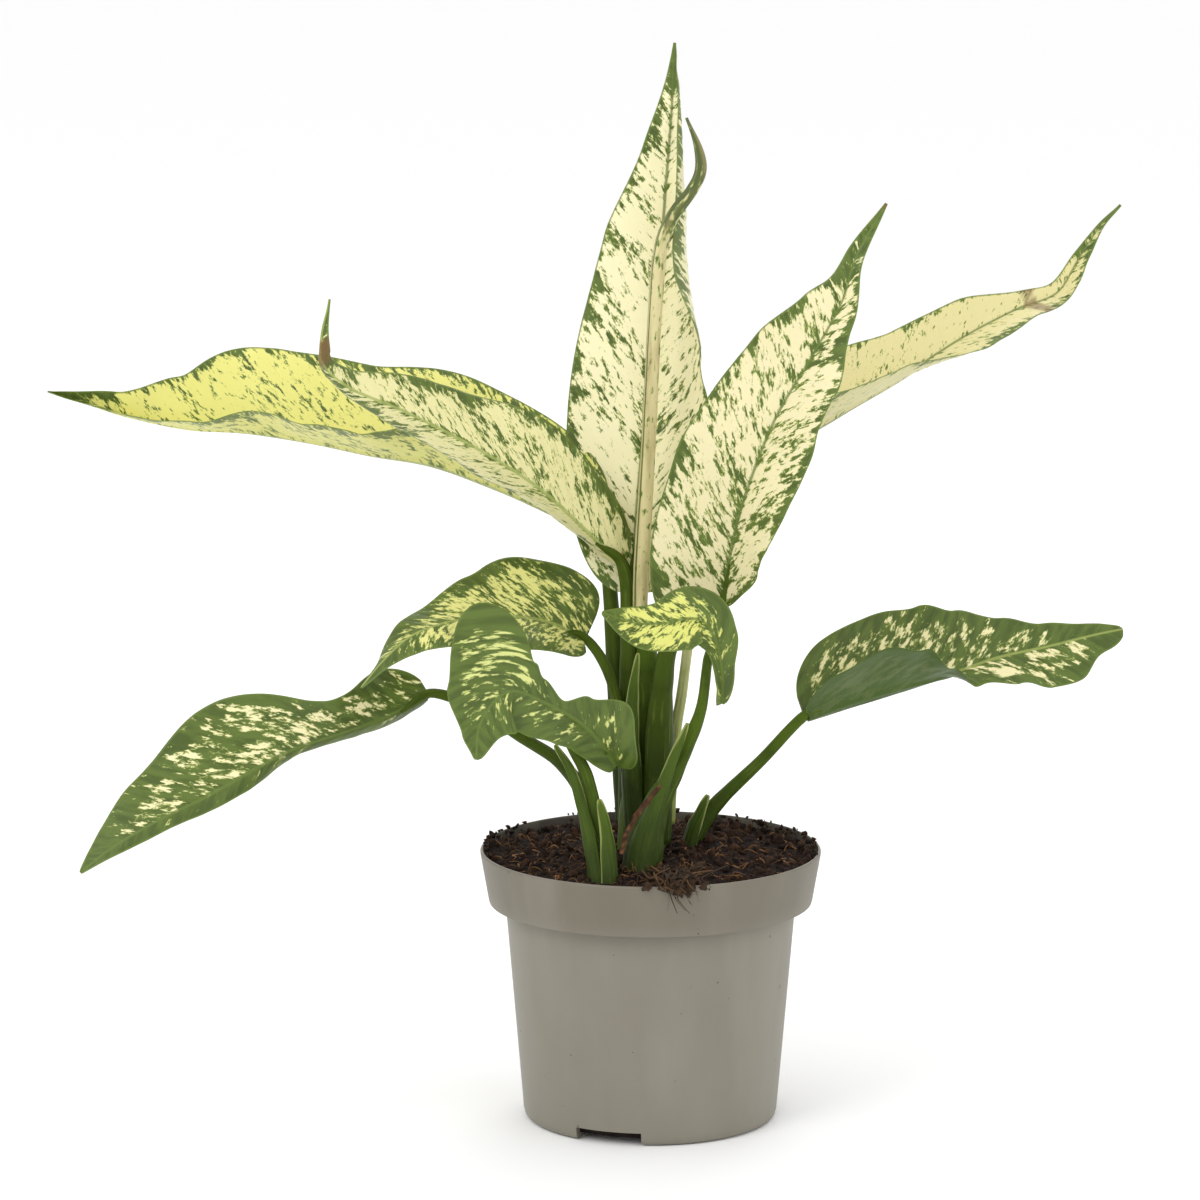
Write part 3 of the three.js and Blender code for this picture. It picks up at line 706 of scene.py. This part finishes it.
def sheet(top, bottom):
    """Points and faces of a closed thin sheet between two grids of points."""
    rows, columns = top.shape[:2]
    count = rows * columns
    faces = [list(f) for f in grid_faces(rows, columns, 0)]
    faces += [list(f) for f in grid_faces(rows, columns, count, flip=True)]
    for i in range(rows - 1):
        a, b = i * columns, (i + 1) * columns
        faces.append([a, b, count + b, count + a])
        a, b = a + columns - 1, b + columns - 1
        faces.append([b, a, count + a, count + b])
    for j in range(columns - 1):
        faces.append([j + 1, j, count + j, count + j + 1])
        k = (rows - 1) * columns + j
        faces.append([k, k + 1, count + k + 1, count + k])
    return np.concatenate([top.reshape(-1, 3), bottom.reshape(-1, 3)]), faces


SEED_STEP = 13.7


def thin_sheet(points, lift, half_thick):
    """Points and faces of a closed thin sheet round a grid of points, once that is raised by lift."""
    normal = surface_normals(points)
    middle = points + normal * lift[..., None]
    return sheet(middle + normal * half_thick, middle - normal * half_thick)


def skin_facts(facts, seed):
    """Where each point of a sheet lies on its blade, for the materials."""
    count = facts["t"].size
    at = np.stack([facts["veins"], facts["beside"], np.full_like(facts["veins"], SEED_STEP * seed)], -1)
    place = np.stack([facts["edge"], np.abs(facts["beside"]), facts["t"]], -1)
    at, place = (np.tile(values.reshape(-1, 3), (2, 1)) for values in (at, place))
    under = np.repeat([0.0, 1.0], count)
    return dict(leaf_at=at, leaf_place=place, leaf_side=np.stack([under] * 3, -1))


def blade(name, leaf, seed, node_name, slot):
    points, facts = blade_shape(leaf)
    normal = surface_normals(points)
    half_thick = 0.5 * BLADE_THICKNESS * np.clip(0.35 + facts["edge"] / 3, 0, 1)[..., None]
    middle = points + normal * relief(points, facts, seed)[..., None]
    t = facts["t"]
    spine = (1.5 - 1.2 * t) * np.exp(-((facts["beside"] / (1.5 - 0.9 * t)) ** 2))
    skin, faces = sheet(middle + normal * half_thick, middle - normal * (half_thick + spine[..., None]))
    material = blade_material(name + "_skin", leaf["look"])
    return new_piece(name, skin, faces, material, node=node_name, slot=slot, **skin_facts(facts, seed))


PALE_LEAVES = ("upright", "front_right", "back_right", "long_left", "left_front")


def make_leaves():
    for seed, (name, leaf) in enumerate(LEAVES.items()):
        slot = "pale_blade" if name in PALE_LEAVES else "green_blade"
        blade(name + "_blade", leaf, seed + 1, "leaf_" + name, slot)


# ---- stalks and shoots

DARK_TONES = ("#303f0e", "#485a14")
FRESH_TONES = ("#2e3d0d", "#4f6417")
PALE_TONES = ("#8f9a52", "#d3cf9b")


def shaft(path, radius, tones=DARK_TONES):
    """A path up to the blade, the radius keyed along it, and the colours at its bottom and top."""
    return dict(path=path, radius=radius, tones=tones)


STALKS = {
    "upright": shaft(
        [(-1, 0, 104), (0, 1, 149), (-3, 1, 170), (-6, 2, 188)],
        [5, 5.2, 4.6, 2.6],
        FRESH_TONES,
    ),
    "front_right": shaft(
        [(2, -6, 100), (3, -8, 136), (4, -9, 156), (6, -10, 169), (13, -11, 180), (25, -12, 187)],
        [5.2, 5.2, 5, 3.6, 2.8, 2.4],
    ),
    "back_right": shaft(
        [(6, 5, 104), (8.5, 3, 135), (11, 3, 152), (14, 1, 177), (18, 0, 207)],
        [2.6, 2, 1.8, 1.8, 2],
        PALE_TONES,
    ),
    "long_left": shaft(
        [(-8, 6, 104), (-12, 8, 151), (-14, 8, 183), (-16, 6, 200), (-21, 4, 209)],
        [4.4, 3.6, 2.8, 2.2],
    ),
    "left_front": shaft(
        [(-7, 0, 104), (-8, 0, 149), (-8, -2, 178), (-10, -4, 198)],
        [4.6, 3.6, 2.8, 2.4],
    ),
    "mid_left": shaft(
        [(-6, -4, 104), (-10, -4, 140), (-15, -4, 160), (-23, -4, 172)],
        [3.4, 2.6, 2, 1.8],
    ),
    "front_small": shaft(
        [
            (-17, -43, 84), (-18, -35, 106), (-22, -30, 127), (-27, -31, 138), (-30, -34, 145),
            (-27, -36, 149),
        ],
        [4.6, 3.9, 2.6, 2, 1.8],
        FRESH_TONES,
    ),
    "right_small": shaft(
        [
            (-4, -33, 84), (-3, -28, 100), (1, -25, 115), (10, -24, 133), (17, -27, 151),
            (20, -30, 172),
        ],
        [6.5, 6.8, 4.4, 2.6, 1.9, 1.7],
        FRESH_TONES,
    ),
    "low_left": shaft(
        [
            (-18, -42, 84), (-19, -33, 102), (-23, -23, 119), (-32, -14, 130), (-46, -8, 138),
            (-61, -8, 148), (-77, -12, 154),
        ],
        [4.6, 3.6, 2.6, 2.1, 1.9, 1.8],
    ),
    "low_right": shaft(
        [(10, 7, 84), (15, 9, 97), (23, 11, 109), (39, 11, 125), (55, 10, 142)],
        [4, 3.2, 2.3, 2, 1.9],
        FRESH_TONES,
    ),
}
STALK_RINGS = 70
STALK_SIDES = 28
STALK_SEED = 40
SHOOT_SEED = 60


def tube_place(across, t, length):
    """For the materials: where each point lies across, how far along, and its share of the length."""
    share = np.broadcast_to(t[:, None], across.shape)
    return np.stack([across, share * length, share], -1)


def stalk(name, spec, seed, node_name):
    """A stalk with a groove along one side and fine ribs."""
    path, length = smooth_path(spec["path"], STALK_RINGS)
    points, turn, t = tube_points(path, spec["radius"], STALK_SIDES)
    middle = path[:, None]
    away = points - middle
    groove = 1 - 0.16 * np.exp(-(((turn - math.pi / 2) / 0.45) ** 2))[None, :, None]
    ribs = 1 + 0.018 * np.cos(9 * turn)[None, :, None] + 0.05 * noise3(points, 9, seed)[..., None]
    points = middle + away * groove * ribs
    at = tube_place(np.broadcast_to(3 * np.sin(turn), points.shape[:2]), t, length)
    material = stalk_material(name + "_rind", *spec["tones"])
    faces = tube_faces(STALK_RINGS, STALK_SIDES)
    points = points.reshape(-1, 3)
    return new_piece(name, points, faces, material, node=node_name, slot="stalk", stalk_at=at)


# The sheaths at the foot of each shoot, in the same terms.
SHOOTS = {
    "stem_main": dict(
        path=[(-3, -4, 72), (-3, -4, 92), (-3, -2, 108), (-2, 0, 126)],
        radius=[9.4, 9.2, 8.4, 6],
        tones=DARK_TONES,
    ),
    "stem_left": dict(
        path=[(-17, -43, 76), (-17, -41, 92), (-18, -37, 103)],
        radius=[5.4, 5, 3],
        tones=FRESH_TONES,
    ),
}


# How far a stalk runs on towards its rib's second point, how far under the rib, and its last radius.
RIB_REACH = 0.7
RIB_DROP = 0.9
RIB_TIP = 0.5
RIB_KEYS = 13


def run_on(name, spec):
    """A stalk that runs on under the start of its blade, narrowing into the rib."""
    start, second = np.array(LEAVES[name]["rib"][:2], float)
    end = start + RIB_REACH * (second - start) - (0, 0, RIB_DROP)
    path = [*spec["path"], tuple(end)]
    own = smooth_path(spec["path"], STALK_RINGS)[1]
    whole = smooth_path(path, STALK_RINGS)[1]
    given = np.linspace(0, own, len(spec["radius"]))
    radius = np.interp(np.linspace(0, whole, RIB_KEYS), [*given, whole], [*spec["radius"], RIB_TIP])
    return dict(spec, path=path, radius=list(radius))


def make_stalks():
    for seed, (name, spec) in enumerate(STALKS.items()):
        stalk(name + "_stalk", run_on(name, spec), STALK_SEED + seed, "stalk_" + name)
    for seed, (name, spec) in enumerate(SHOOTS.items()):
        stalk(name + "_sheaths", spec, SHOOT_SEED + seed, name)


def lap(width, curl):
    """One half of a sheath."""
    return half(width, 0, curl, 0.1)


# The sheaths that clasp the stalks, in the same terms as the leaves. Each narrows to a free tip.
SHEATHS = {
    "stem_left_outer": dict(
        rib=[
            (-18, -49, 85), (-21, -43, 102), (-24.4, -36, 117.7), (-28.2, -32, 130.3),
            (-33.4, -29, 139.2),
        ],
        face=[(0.3, 1, 0), (0.3, 1, 0.1)],
        left=lap([5.5, 5, 4, 3], [90, 110, 100, 30]),
        right=lap([4.5, 4.2, 3.4, 3], [90, 110, 100, 30]),
    ),
    "stem_left_inner": dict(
        rib=[(-13, -49, 84), (-13.6, -46, 97.5), (-15.2, -40, 110), (-18.1, -34, 121)],
        face=[(-0.5, 1, 0), (-0.2, 1, 0)],
        left=lap([4, 4, 3.4, 3], [80, 90, 60, 20]),
        right=lap([4, 4, 3.4, 3], [60, 60, 40, 20]),
    ),
    "middle": dict(
        rib=[(-5.5, -11, 96), (-7.3, -11, 121.7), (-7.7, -12, 140.5), (-6.4, -12, 154.6), (-4.6, -11, 168)],
        face=[(0.2, 1, 0), (0.2, 1, 0)],
        left=lap([5, 5.5, 4.5, 2.6], [80, 90, 60, 30]),
        right=lap([4.5, 5, 4, 2.6], [80, 90, 70, 30]),
    ),
    "right_small": dict(
        rib=[(-5, -41, 85), (-3, -36.5, 100), (1, -33, 115), (6.5, -30.5, 130.5), (12.4, -29.5, 147)],
        face=[(0.1, 1, -0.1), (-0.2, 1, 0), (-0.5, 1, 0.3)],
        left=lap([8, 8.5, 6.5, 3.6, 2.4], [80, 90, 110, 90, 30]),
        right=lap([8, 8.5, 6.5, 3.6, 2.4], [90, 100, 120, 90, 30]),
    ),
    "low_right": dict(
        rib=[(11.8, 3, 90.2), (13.9, 4, 99.4), (17.1, 5, 107.1), (20.3, 7, 113.5)],
        face=[(0.4, 1, -0.2), (0.3, 1, 0)],
        left=lap([4, 3.6, 2.8, 2], [80, 90, 50, 20]),
        right=lap([4, 3.6, 2.8, 2], [80, 90, 50, 20]),
    ),
}
SHEATH_TAPER = (0.08, 0.55)
SHEATH_STEPS = 80
SHEATH_ACROSS = 14
SHEATH_SEED = 70
SHEATH_HALF = 0.28


def make_sheaths():
    for seed, (name, spec) in enumerate(SHEATHS.items()):
        spec = dict(spec, taper=SHEATH_TAPER, wave=(0.35, 2.3, 0.1 * seed))
        points, facts = blade_shape(spec, SHEATH_STEPS, SHEATH_ACROSS)
        ribbed = 0.12 * np.cos(3.2 * facts["beside"]) + 0.35 * noise3(points, 7, SHEATH_SEED + seed)
        half_thick = SHEATH_HALF * np.clip(0.4 + facts["edge"] / 2, 0, 1)[..., None]
        skin, faces = thin_sheet(points, ribbed, half_thick)
        material = sheath_material(name + "_sheath_skin")
        new_piece(name + "_sheath", skin, faces, material, slot="stalk", **skin_facts(facts, seed))


NEW_LEAF = dict(
    path=[
        (-4, -6, 176), (-3, -5, 203), (-1, -3, 238), (1, 0, 280), (3, 2, 306), (7, 3, 318),
        (14, 3, 328), (17, 3, 335), (16, 3, 343), (12, 3, 353),
    ],
    radius=[2.4, 2.7, 2.6, 2.5, 2.4, 2.4, 2.4, 2.3, 2.0, 0.5],
    rings=150,
    sides=48,
    seed=90,
)


def make_new_leaf():
    """The rolled leaf: a spiral in section, so its outer edge stands a little off as a seam."""
    path, length = smooth_path(NEW_LEAF["path"], NEW_LEAF["rings"])
    points, turn, t = tube_points(path, NEW_LEAF["radius"], NEW_LEAF["sides"])
    middle = path[:, None]
    twist = (turn[None] - 0.6 + 0.3 * t[:, None]) % (2 * math.pi)
    spiral = 1 + 0.2 * (twist / (2 * math.pi) - 0.5)
    uneven = 1 + 0.05 * noise3(points, 7, NEW_LEAF["seed"])[..., None]
    points = (middle + (points - middle) * spiral[..., None] * uneven).reshape(-1, 3)
    at = tube_place(twist - math.pi, t, length)
    faces = tube_faces(NEW_LEAF["rings"], NEW_LEAF["sides"])
    material = new_leaf_material()
    new_piece("new_leaf_rolled", points, faces, material, node="new_leaf", slot="pale_blade", stalk_at=at)


# ---- pot and soil

POT_HEIGHT = 96
FOOT_RADIUS = 44.9
PLASTIC = 1.2
# Radius and height of each corner, from the middle of the base to the rim, and then of the cavity.
POT_PROFILE_OUT = [
    (0, 0), (42.4, 0), (43.7, 0.3), (44.4, 1.1), (FOOT_RADIUS, 3), (45.1, 6), (51.0, 75.6),
    (51.5, 76.7), (52.4, 77.2), (56.0, 77.2), (56.8, 77.5), (57.05, 78.3), (59.9, 94.6),
    (59.95, 95.4), (59.6, POT_HEIGHT), (0, POT_HEIGHT),
]
POT_PROFILE_IN = [
    (0, PLASTIC), (42, 1.3), (43.2, 2.4), (43.9, 6), (49.8, 76.6), (50.6, 78.3), (55.3, 78.6), (56.0, 79.4),
    (58.7, 94.8), (58.9, 95.6), (59.3, 96.6), (0, 96.6),
]
POT_SIDES = 256
BELOW_POT = -5
BEYOND_POT = 60
DRAIN = dict(count=3, first=-110, reach=12, width=24, height=4.6)
SLOT = dict(inset=2, reach=4, width=13, height=9)


def revolve(profile):
    """Points and faces of a profile turned round the axis. It starts and ends on the axis."""
    sides = POT_SIDES
    ring = np.linspace(0, 2 * math.pi, sides, endpoint=False)
    inner = profile[1:-1]
    points = [[(r * math.cos(a), r * math.sin(a), z) for a in ring] for r, z in inner]
    points = np.array(points).reshape(-1, 3)
    faces = [list(f) for f in grid_faces(len(inner), sides, wrap=True)]
    bottom, top = len(points), len(points) + 1
    points = np.vstack([points, [(0, 0, profile[0][1]), (0, 0, profile[-1][1])]])
    last = (len(inner) - 1) * sides
    for i in range(sides):
        k = (i + 1) % sides
        faces.append([bottom, k, i])
        faces.append([top, last + i, last + k])
    return points, faces


def cutter(lo, hi, width, top, angle):
    """A box under the pot, from lo to hi away from the axis, turned to an angle."""
    corners = itertools.product((BELOW_POT, top), (-width / 2, width / 2), (lo, hi))
    c, s = math.cos(angle), math.sin(angle)
    points = [(r * c - w * s, r * s + w * c, z) for z, w, r in corners]
    return new_object("cutter", points, BOX_FACES)


BOX_FACES = [[0, 2, 3, 1], [4, 5, 7, 6], [0, 1, 5, 4], [2, 6, 7, 3], [0, 4, 6, 2], [1, 3, 7, 5]]


def cut(target, tool):
    """Cuts tool out of target, and removes tool."""
    modifier = target.modifiers.new("cut", "BOOLEAN")
    modifier.operation = "DIFFERENCE"
    modifier.object = tool
    modifier.solver = "EXACT"
    graph = bpy.context.evaluated_depsgraph_get()
    mesh = bpy.data.meshes.new_from_object(target.evaluated_get(graph))
    target.modifiers.clear()
    target.data = mesh
    bpy.data.objects.remove(tool)


def make_pot():
    """The outside less a cavity. The cavity stands clear of the recesses, which are cut from below."""
    pot = new_object("nursery_pot", *revolve(POT_PROFILE_OUT))
    cavity = new_object("cavity", *revolve(POT_PROFILE_IN))
    low = FOOT_RADIUS - DRAIN["reach"]
    width, height = DRAIN["width"], DRAIN["height"]
    slot_low = low + SLOT["inset"]
    slot_high = slot_low + SLOT["reach"]
    angles = [math.radians(DRAIN["first"] + 360 / DRAIN["count"] * i) for i in range(DRAIN["count"])]
    for angle in angles:
        lining = cutter(low - PLASTIC, BEYOND_POT, width + 2 * PLASTIC, height + PLASTIC, angle)
        cut(cavity, lining)
    cut(pot, cavity)
    for angle in angles:
        cut(pot, cutter(low, BEYOND_POT, width, height, angle))
        cut(pot, cutter(slot_low, slot_high, SLOT["width"], SLOT["height"], angle))
    mesh = pot.data
    mesh.materials.clear()
    mesh.materials.append(pot_material())
    mesh.polygons.foreach_set("use_smooth", [True] * len(mesh.polygons))
    mesh.set_sharp_from_angle(angle=math.radians(32))
    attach(pot, "root")
    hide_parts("pot")


SOIL_LEVEL = 93
MOUND_AT = (8, -14)
MOUND_HEIGHT = 3.5
MOUND_REACH = 30
# Height, size and seed of each layer of the soil's roughness.
SOIL_ROUGHNESS = [(1.3, 7, 3), (1.0, 3.2, 4), (0.7, 1.5, 5), (0.4, 0.8, 6)]
SOIL_SIDES = 260
SOIL_RINGS = 90
SOIL_FOOT = [(49.0, 76.0), (43.0, 6.5), (41.0, 1.9)]


def soil_height(x, y):
    away = np.hypot(x - MOUND_AT[0], y - MOUND_AT[1]) / MOUND_REACH
    lumps = np.sin(x / 4) * np.cos(y / 4)
    return SOIL_LEVEL + MOUND_HEIGHT * np.exp(-away * away) + 0.8 * lumps


def soil_top(x, y):
    flat = np.stack([x, y, 0 * x], -1)
    return soil_height(x, y) + sum(high * noise3(flat, size, seed) for high, size, seed in SOIL_ROUGHNESS)


def make_soil():
    radius = np.linspace(58.0, 0.4, SOIL_RINGS)
    turn = np.linspace(0, 2 * math.pi, SOIL_SIDES, endpoint=False)
    x = radius[:, None] * np.cos(turn)
    y = radius[:, None] * np.sin(turn)
    top = np.stack([x, y, soil_top(x, y)], -1)
    foot = [np.stack([r * np.cos(turn), r * np.sin(turn), z + 0 * turn], -1) for r, z in SOIL_FOOT]
    points = np.concatenate([np.array(foot[::-1]), top]).reshape(-1, 3)
    faces = tube_faces(SOIL_RINGS + len(SOIL_FOOT), SOIL_SIDES)
    grain = np.stack([np.clip(noise3(points, 4, 8), 0, 1)] * 3, -1)
    new_piece("peat", points, faces, soil_material(), node="soil", slot="soil", grain=grain)


def lump(rng, detail=2):
    """A small crumb: a rough, flattened and broken ball."""
    mesh = bmesh.new()
    bmesh.ops.create_icosphere(mesh, subdivisions=detail, radius=1)
    points = np.array([v.co[:] for v in mesh.verts])
    faces = [[v.index for v in f.verts] for f in mesh.faces]
    mesh.free()
    scale = np.array([rng.uniform(0.5, 1.4) for _ in range(3)])
    rough = 1 + 0.7 * noise3(points, 0.75, rng.randrange(1000))[:, None]
    return points * rough * scale, faces


def spun(rng, points):
    return points @ np.array(Euler([rng.uniform(0, 6.3) for _ in range(3)]).to_matrix())


def scatter(rng, reach=57.0):
    """A place on the soil, anywhere within reach of the pot's axis."""
    radius = reach * math.sqrt(rng.random())
    turn = rng.uniform(0, 2 * math.pi)
    return radius * math.cos(turn), radius * math.sin(turn)


def top_at(x, y):
    return float(soil_top(np.array(x), np.array(y)))


SOIL_CRUMBS = 2600
RIM_CRUMBS = 150
RIM_CRUMB_TURNS = (155, 175, 15, 40, -20, 95)


def add_soil_crumbs(rng, heap, coarse, smooth):
    for _ in range(SOIL_CRUMBS):
        x, y = scatter(rng)
        size = 0.25 + 1.5 * rng.random() ** 4
        points, faces = rng.choice(smooth if size > 0.6 else coarse)
        crumb = spun(rng, points) * size + (x, y, top_at(x, y) + 0.2 * size)
        heap.add(crumb, faces, rng.random() ** 4)


def add_rim_crumbs(rng, heap, shapes):
    """Crumbs in a few clusters on the rim and just inside it."""
    for _ in range(RIM_CRUMBS):
        turn = math.radians(rng.choice(RIM_CRUMB_TURNS) + rng.gauss(0, 14))
        out = rng.uniform(56.5, 59.2)
        size = rng.uniform(0.25, 1.1)
        points, faces = rng.choice(shapes)
        rise = rng.uniform(94.5, 96.5) if out < 58.4 else 96.4
        spot = (out * math.cos(turn), out * math.sin(turn), rise + 0.3 * size)
        heap.add(spun(rng, points) * size + spot, faces, 0.3 * rng.random())


def make_crumbs():
    rng = random.Random(11)
    coarse = [lump(rng, 1) for _ in range(30)]
    smooth = [lump(rng, 2) for _ in range(30)]
    heap = Heap()
    add_soil_crumbs(rng, heap, coarse, smooth)
    add_rim_crumbs(rng, heap, coarse)
    heap.piece("peat_crumbs", soil_material("peat_crumb", "#150d09", "#4a3222"), slot="soil")


FIBRE_SIDES = 5
LYING_FIBRES = 420
# Where tufts of fibre ends stand up near the rim: x, y and height.
TUFTS = [(-52, 12, 8), (38, 38, 6), (46, 30, 4), (55, 4, 5), (-40, -36, 4), (-30, 44, 3)]
ENDS_PER_TUFT = 7


def fibre(heap, points, thick, tone, rings=9):
    path, _ = smooth_path(points, rings)
    ring, _, _ = tube_points(path, [thick, thick * 1.1, thick * 0.3], FIBRE_SIDES)
    heap.add(ring, tube_faces(rings, FIBRE_SIDES), tone)


def add_lying_fibre(rng, heap):
    x, y = scatter(rng, 55)
    turn = rng.uniform(0, 2 * math.pi)
    reach = rng.uniform(2, 9)
    points = []
    for k in range(4):
        px = x + reach * k / 3 * math.cos(turn) + rng.uniform(-1.2, 1.2)
        py = y + reach * k / 3 * math.sin(turn) + rng.uniform(-1.2, 1.2)
        inward = min(1, 56.5 / math.hypot(px, py))
        px, py = inward * px, inward * py
        points.append((px, py, top_at(px, py) + rng.uniform(-0.3, 1.6 if 0 < k < 3 else 0.5)))
    fibre(heap, points, rng.uniform(0.1, 0.24), rng.random() ** 2.5)


def add_standing_fibre(rng, heap, x, y, height):
    x, y = x + rng.uniform(-4, 4), y + rng.uniform(-4, 4)
    lean_x, lean_y = rng.uniform(-3, 3), rng.uniform(-3, 3)
    z = top_at(x, y) - 1
    rise = height * rng.uniform(0.4, 1)
    steps = (0, 0.35, 0.7, 1)
    points = [(x + lean_x * k, y + lean_y * k, z + rise * math.sin(1.7 * k)) for k in steps]
    fibre(heap, points, rng.uniform(0.1, 0.2), 0.3 * rng.random())


def make_fibres():
    """Coir lying on the soil, with a few ends that stand up near the rim."""
    rng = random.Random(5)
    heap = Heap()
    for _ in range(LYING_FIBRES):
        add_lying_fibre(rng, heap)
    for x, y, height in TUFTS:
        for _ in range(ENDS_PER_TUFT):
            add_standing_fibre(rng, heap, x, y, height)
    heap.piece("coir_fibres", fibre_material("coir", "#24140c", "#a97a4c"), slot="dry_fibre")


HANGING_ROOTS = 70
LOOSE_ROOTS = 70
ROOT_CRUMBS = 300


def jog(rng, wide):
    return rng.uniform(-wide, wide)


def add_hanging_root(rng, heap):
    """A root that runs forward over the soil and the rim, and hangs down outside."""
    x = rng.gauss(9, 3.4)
    drop = rng.uniform(0, 2) + (rng.uniform(0, 7) if rng.random() < 0.3 else 0)
    points = [
        (x + jog(rng, 9), rng.uniform(-42, -34), 97 + jog(rng, 1.5)),
        (x + jog(rng, 5), rng.uniform(-54, -46), 97.5 + jog(rng, 1.4)),
        (x + jog(rng, 3), -59 + jog(rng, 1.2), 97.9 + jog(rng, 1.1)),
        (x + jog(rng, 3), -61.4 + jog(rng, 0.5), 96.6 - 0.4 * drop),
        (0.6 * x + 5.5 + jog(rng, 2.5), -61.4 + jog(rng, 0.7), 95.4 - drop),
    ]
    tone = rng.random() ** 5
    kept = rng.choice((3, 4, 5, 5))
    fibre(heap, points[:kept], rng.uniform(0.12, 0.42), tone, rings=14)


def add_loose_root(rng, heap):
    """A short root that arches over the soil behind the rim."""
    x, y = rng.uniform(-7, 16), rng.uniform(-56, -28)
    turn = rng.uniform(0, 2 * math.pi)
    reach = rng.uniform(2, 7)
    z = top_at(x, y)
    bends = [(0, -0.5), (0.4, rng.uniform(1, 4)), (0.8, rng.uniform(0.5, 4)), (1, rng.uniform(0, 3))]
    points = []
    for k, rise in bends:
        px = x + reach * k * math.cos(turn) + jog(rng, 0.8)
        points.append((px, y + reach * k * math.sin(turn), z + rise))
    fibre(heap, points, rng.uniform(0.1, 0.22), 0.3 + 0.7 * rng.random(), rings=12)


def add_root_crumbs(rng, heap):
    shapes = [lump(rng, 2) for _ in range(20)]
    for _ in range(ROOT_CRUMBS):
        x = rng.gauss(8.5, 4.2)
        y = rng.uniform(-61.2, -34)
        points, faces = rng.choice(shapes)
        z = 96.8 + rng.uniform(-2.4, 0.9) if y < -58.5 else top_at(x, y) + rng.uniform(-0.4, 1.6)
        crumb = spun(rng, points) * rng.uniform(0.3, 1.5) + (x, y, z)
        heap.add(crumb, faces, 0.06 * rng.random())


def make_tuft():
    """The mat of roots and peat that lies against the stems and hangs over the rim."""
    rng = random.Random(21)
    heap = Heap()
    for _ in range(HANGING_ROOTS):
        add_hanging_root(rng, heap)
    for _ in range(LOOSE_ROOTS):
        add_loose_root(rng, heap)
    add_root_crumbs(rng, heap)
    material = fibre_material("roots", "#0d0705", "#7c5a38")
    heap.piece("root_bunch", material, node="root_tuft", slot="dry_fibre")


DRY_SHEATH = dict(
    rib=[(3, -39.5, 127), (-3, -41, 120), (-8, -42.5, 112), (-10.5, -44, 104)],
    face=[(0, -1, 0.2), (-0.4, -1, 0.2), (-0.2, -1, 0.3)],
    taper=(0.3, 0.3),
    left=half([0.3, 0.6, 0.3, 0.4], 0, 40),
    right=half([0.2, 0.5, 0.4, 0.3], 0, 40),
    wave=(0.4, 3, 0),
)
DRY_STEPS = 60
DRY_ACROSS = 8
DRY_HALF = 0.2


def make_dry_sheath():
    points, facts = blade_shape(DRY_SHEATH, DRY_STEPS, DRY_ACROSS)
    skin, faces = thin_sheet(points, 0.5 * noise3(points, 2.2, 5), DRY_HALF)
    grain = np.stack([np.clip(0.4 + noise3(skin, 1.2, 2), 0, 1)] * 3, -1)
    material = fibre_material("dry_skin", "#2a170d", "#6b4629")
    new_piece("dried_sheath_strip", skin, faces, material, node="dry_sheath", slot="dry_fibre", grain=grain)


# ---- floor, light and camera


def make_stage():
    bpy.ops.mesh.primitive_plane_add(size=40, location=(0, 0, -0.0002))
    floor = bpy.context.object
    floor.name = "floor"
    material, _, _ = surface("floor_paper", 0.9, 0.2, tint("#fdfdfd"))
    floor.data.materials.append(material)
    world = bpy.data.worlds.new("studio")
    bpy.context.scene.world = world
    world.use_nodes = True
    back = world.node_tree.nodes["Background"]
    back.inputs["Color"].default_value = (1, 1, 1, 1)
    back.inputs["Strength"].default_value = 1.0


def add_light(name, place, target, size, power):
    data = bpy.data.lights.new(name, "AREA")
    data.size = size
    data.energy = power
    lamp = bpy.data.objects.new(name, data)
    bpy.context.collection.objects.link(lamp)
    lamp.location = place
    lamp.rotation_euler = (Vector(target) - Vector(place)).to_track_quat("-Z", "Y").to_euler()


def make_lights():
    middle = (0, 0, 0.2)
    add_light("key", (-1.1, -1.3, 1.6), middle, 0.9, 11)
    add_light("fill", (1.4, -1.2, 0.8), middle, 1.2, 3)
    add_light("back", (0.3, 1.3, 1.2), middle, 1.0, 5)


CAMERA_PLACE = (-0.0178, -1.9487, 0.5459)
CAMERA_PITCH = 10.5
CAMERA_LENS = 170.3


def make_camera():
    data = bpy.data.cameras.new("camera")
    data.lens = CAMERA_LENS
    data.sensor_width = 36
    data.clip_end = 100
    camera = bpy.data.objects.new("camera", data)
    bpy.context.collection.objects.link(camera)
    camera.location = CAMERA_PLACE
    camera.rotation_euler = (math.radians(90 - CAMERA_PITCH), 0, 0)
    bpy.context.scene.camera = camera


make_leaves()
make_stalks()
make_sheaths()
make_new_leaf()
make_dry_sheath()
make_pot()
make_soil()
make_crumbs()
make_fibres()
make_tuft()
make_stage()
make_lights()
make_camera()
bpy.context.scene.view_settings.view_transform = "Standard"
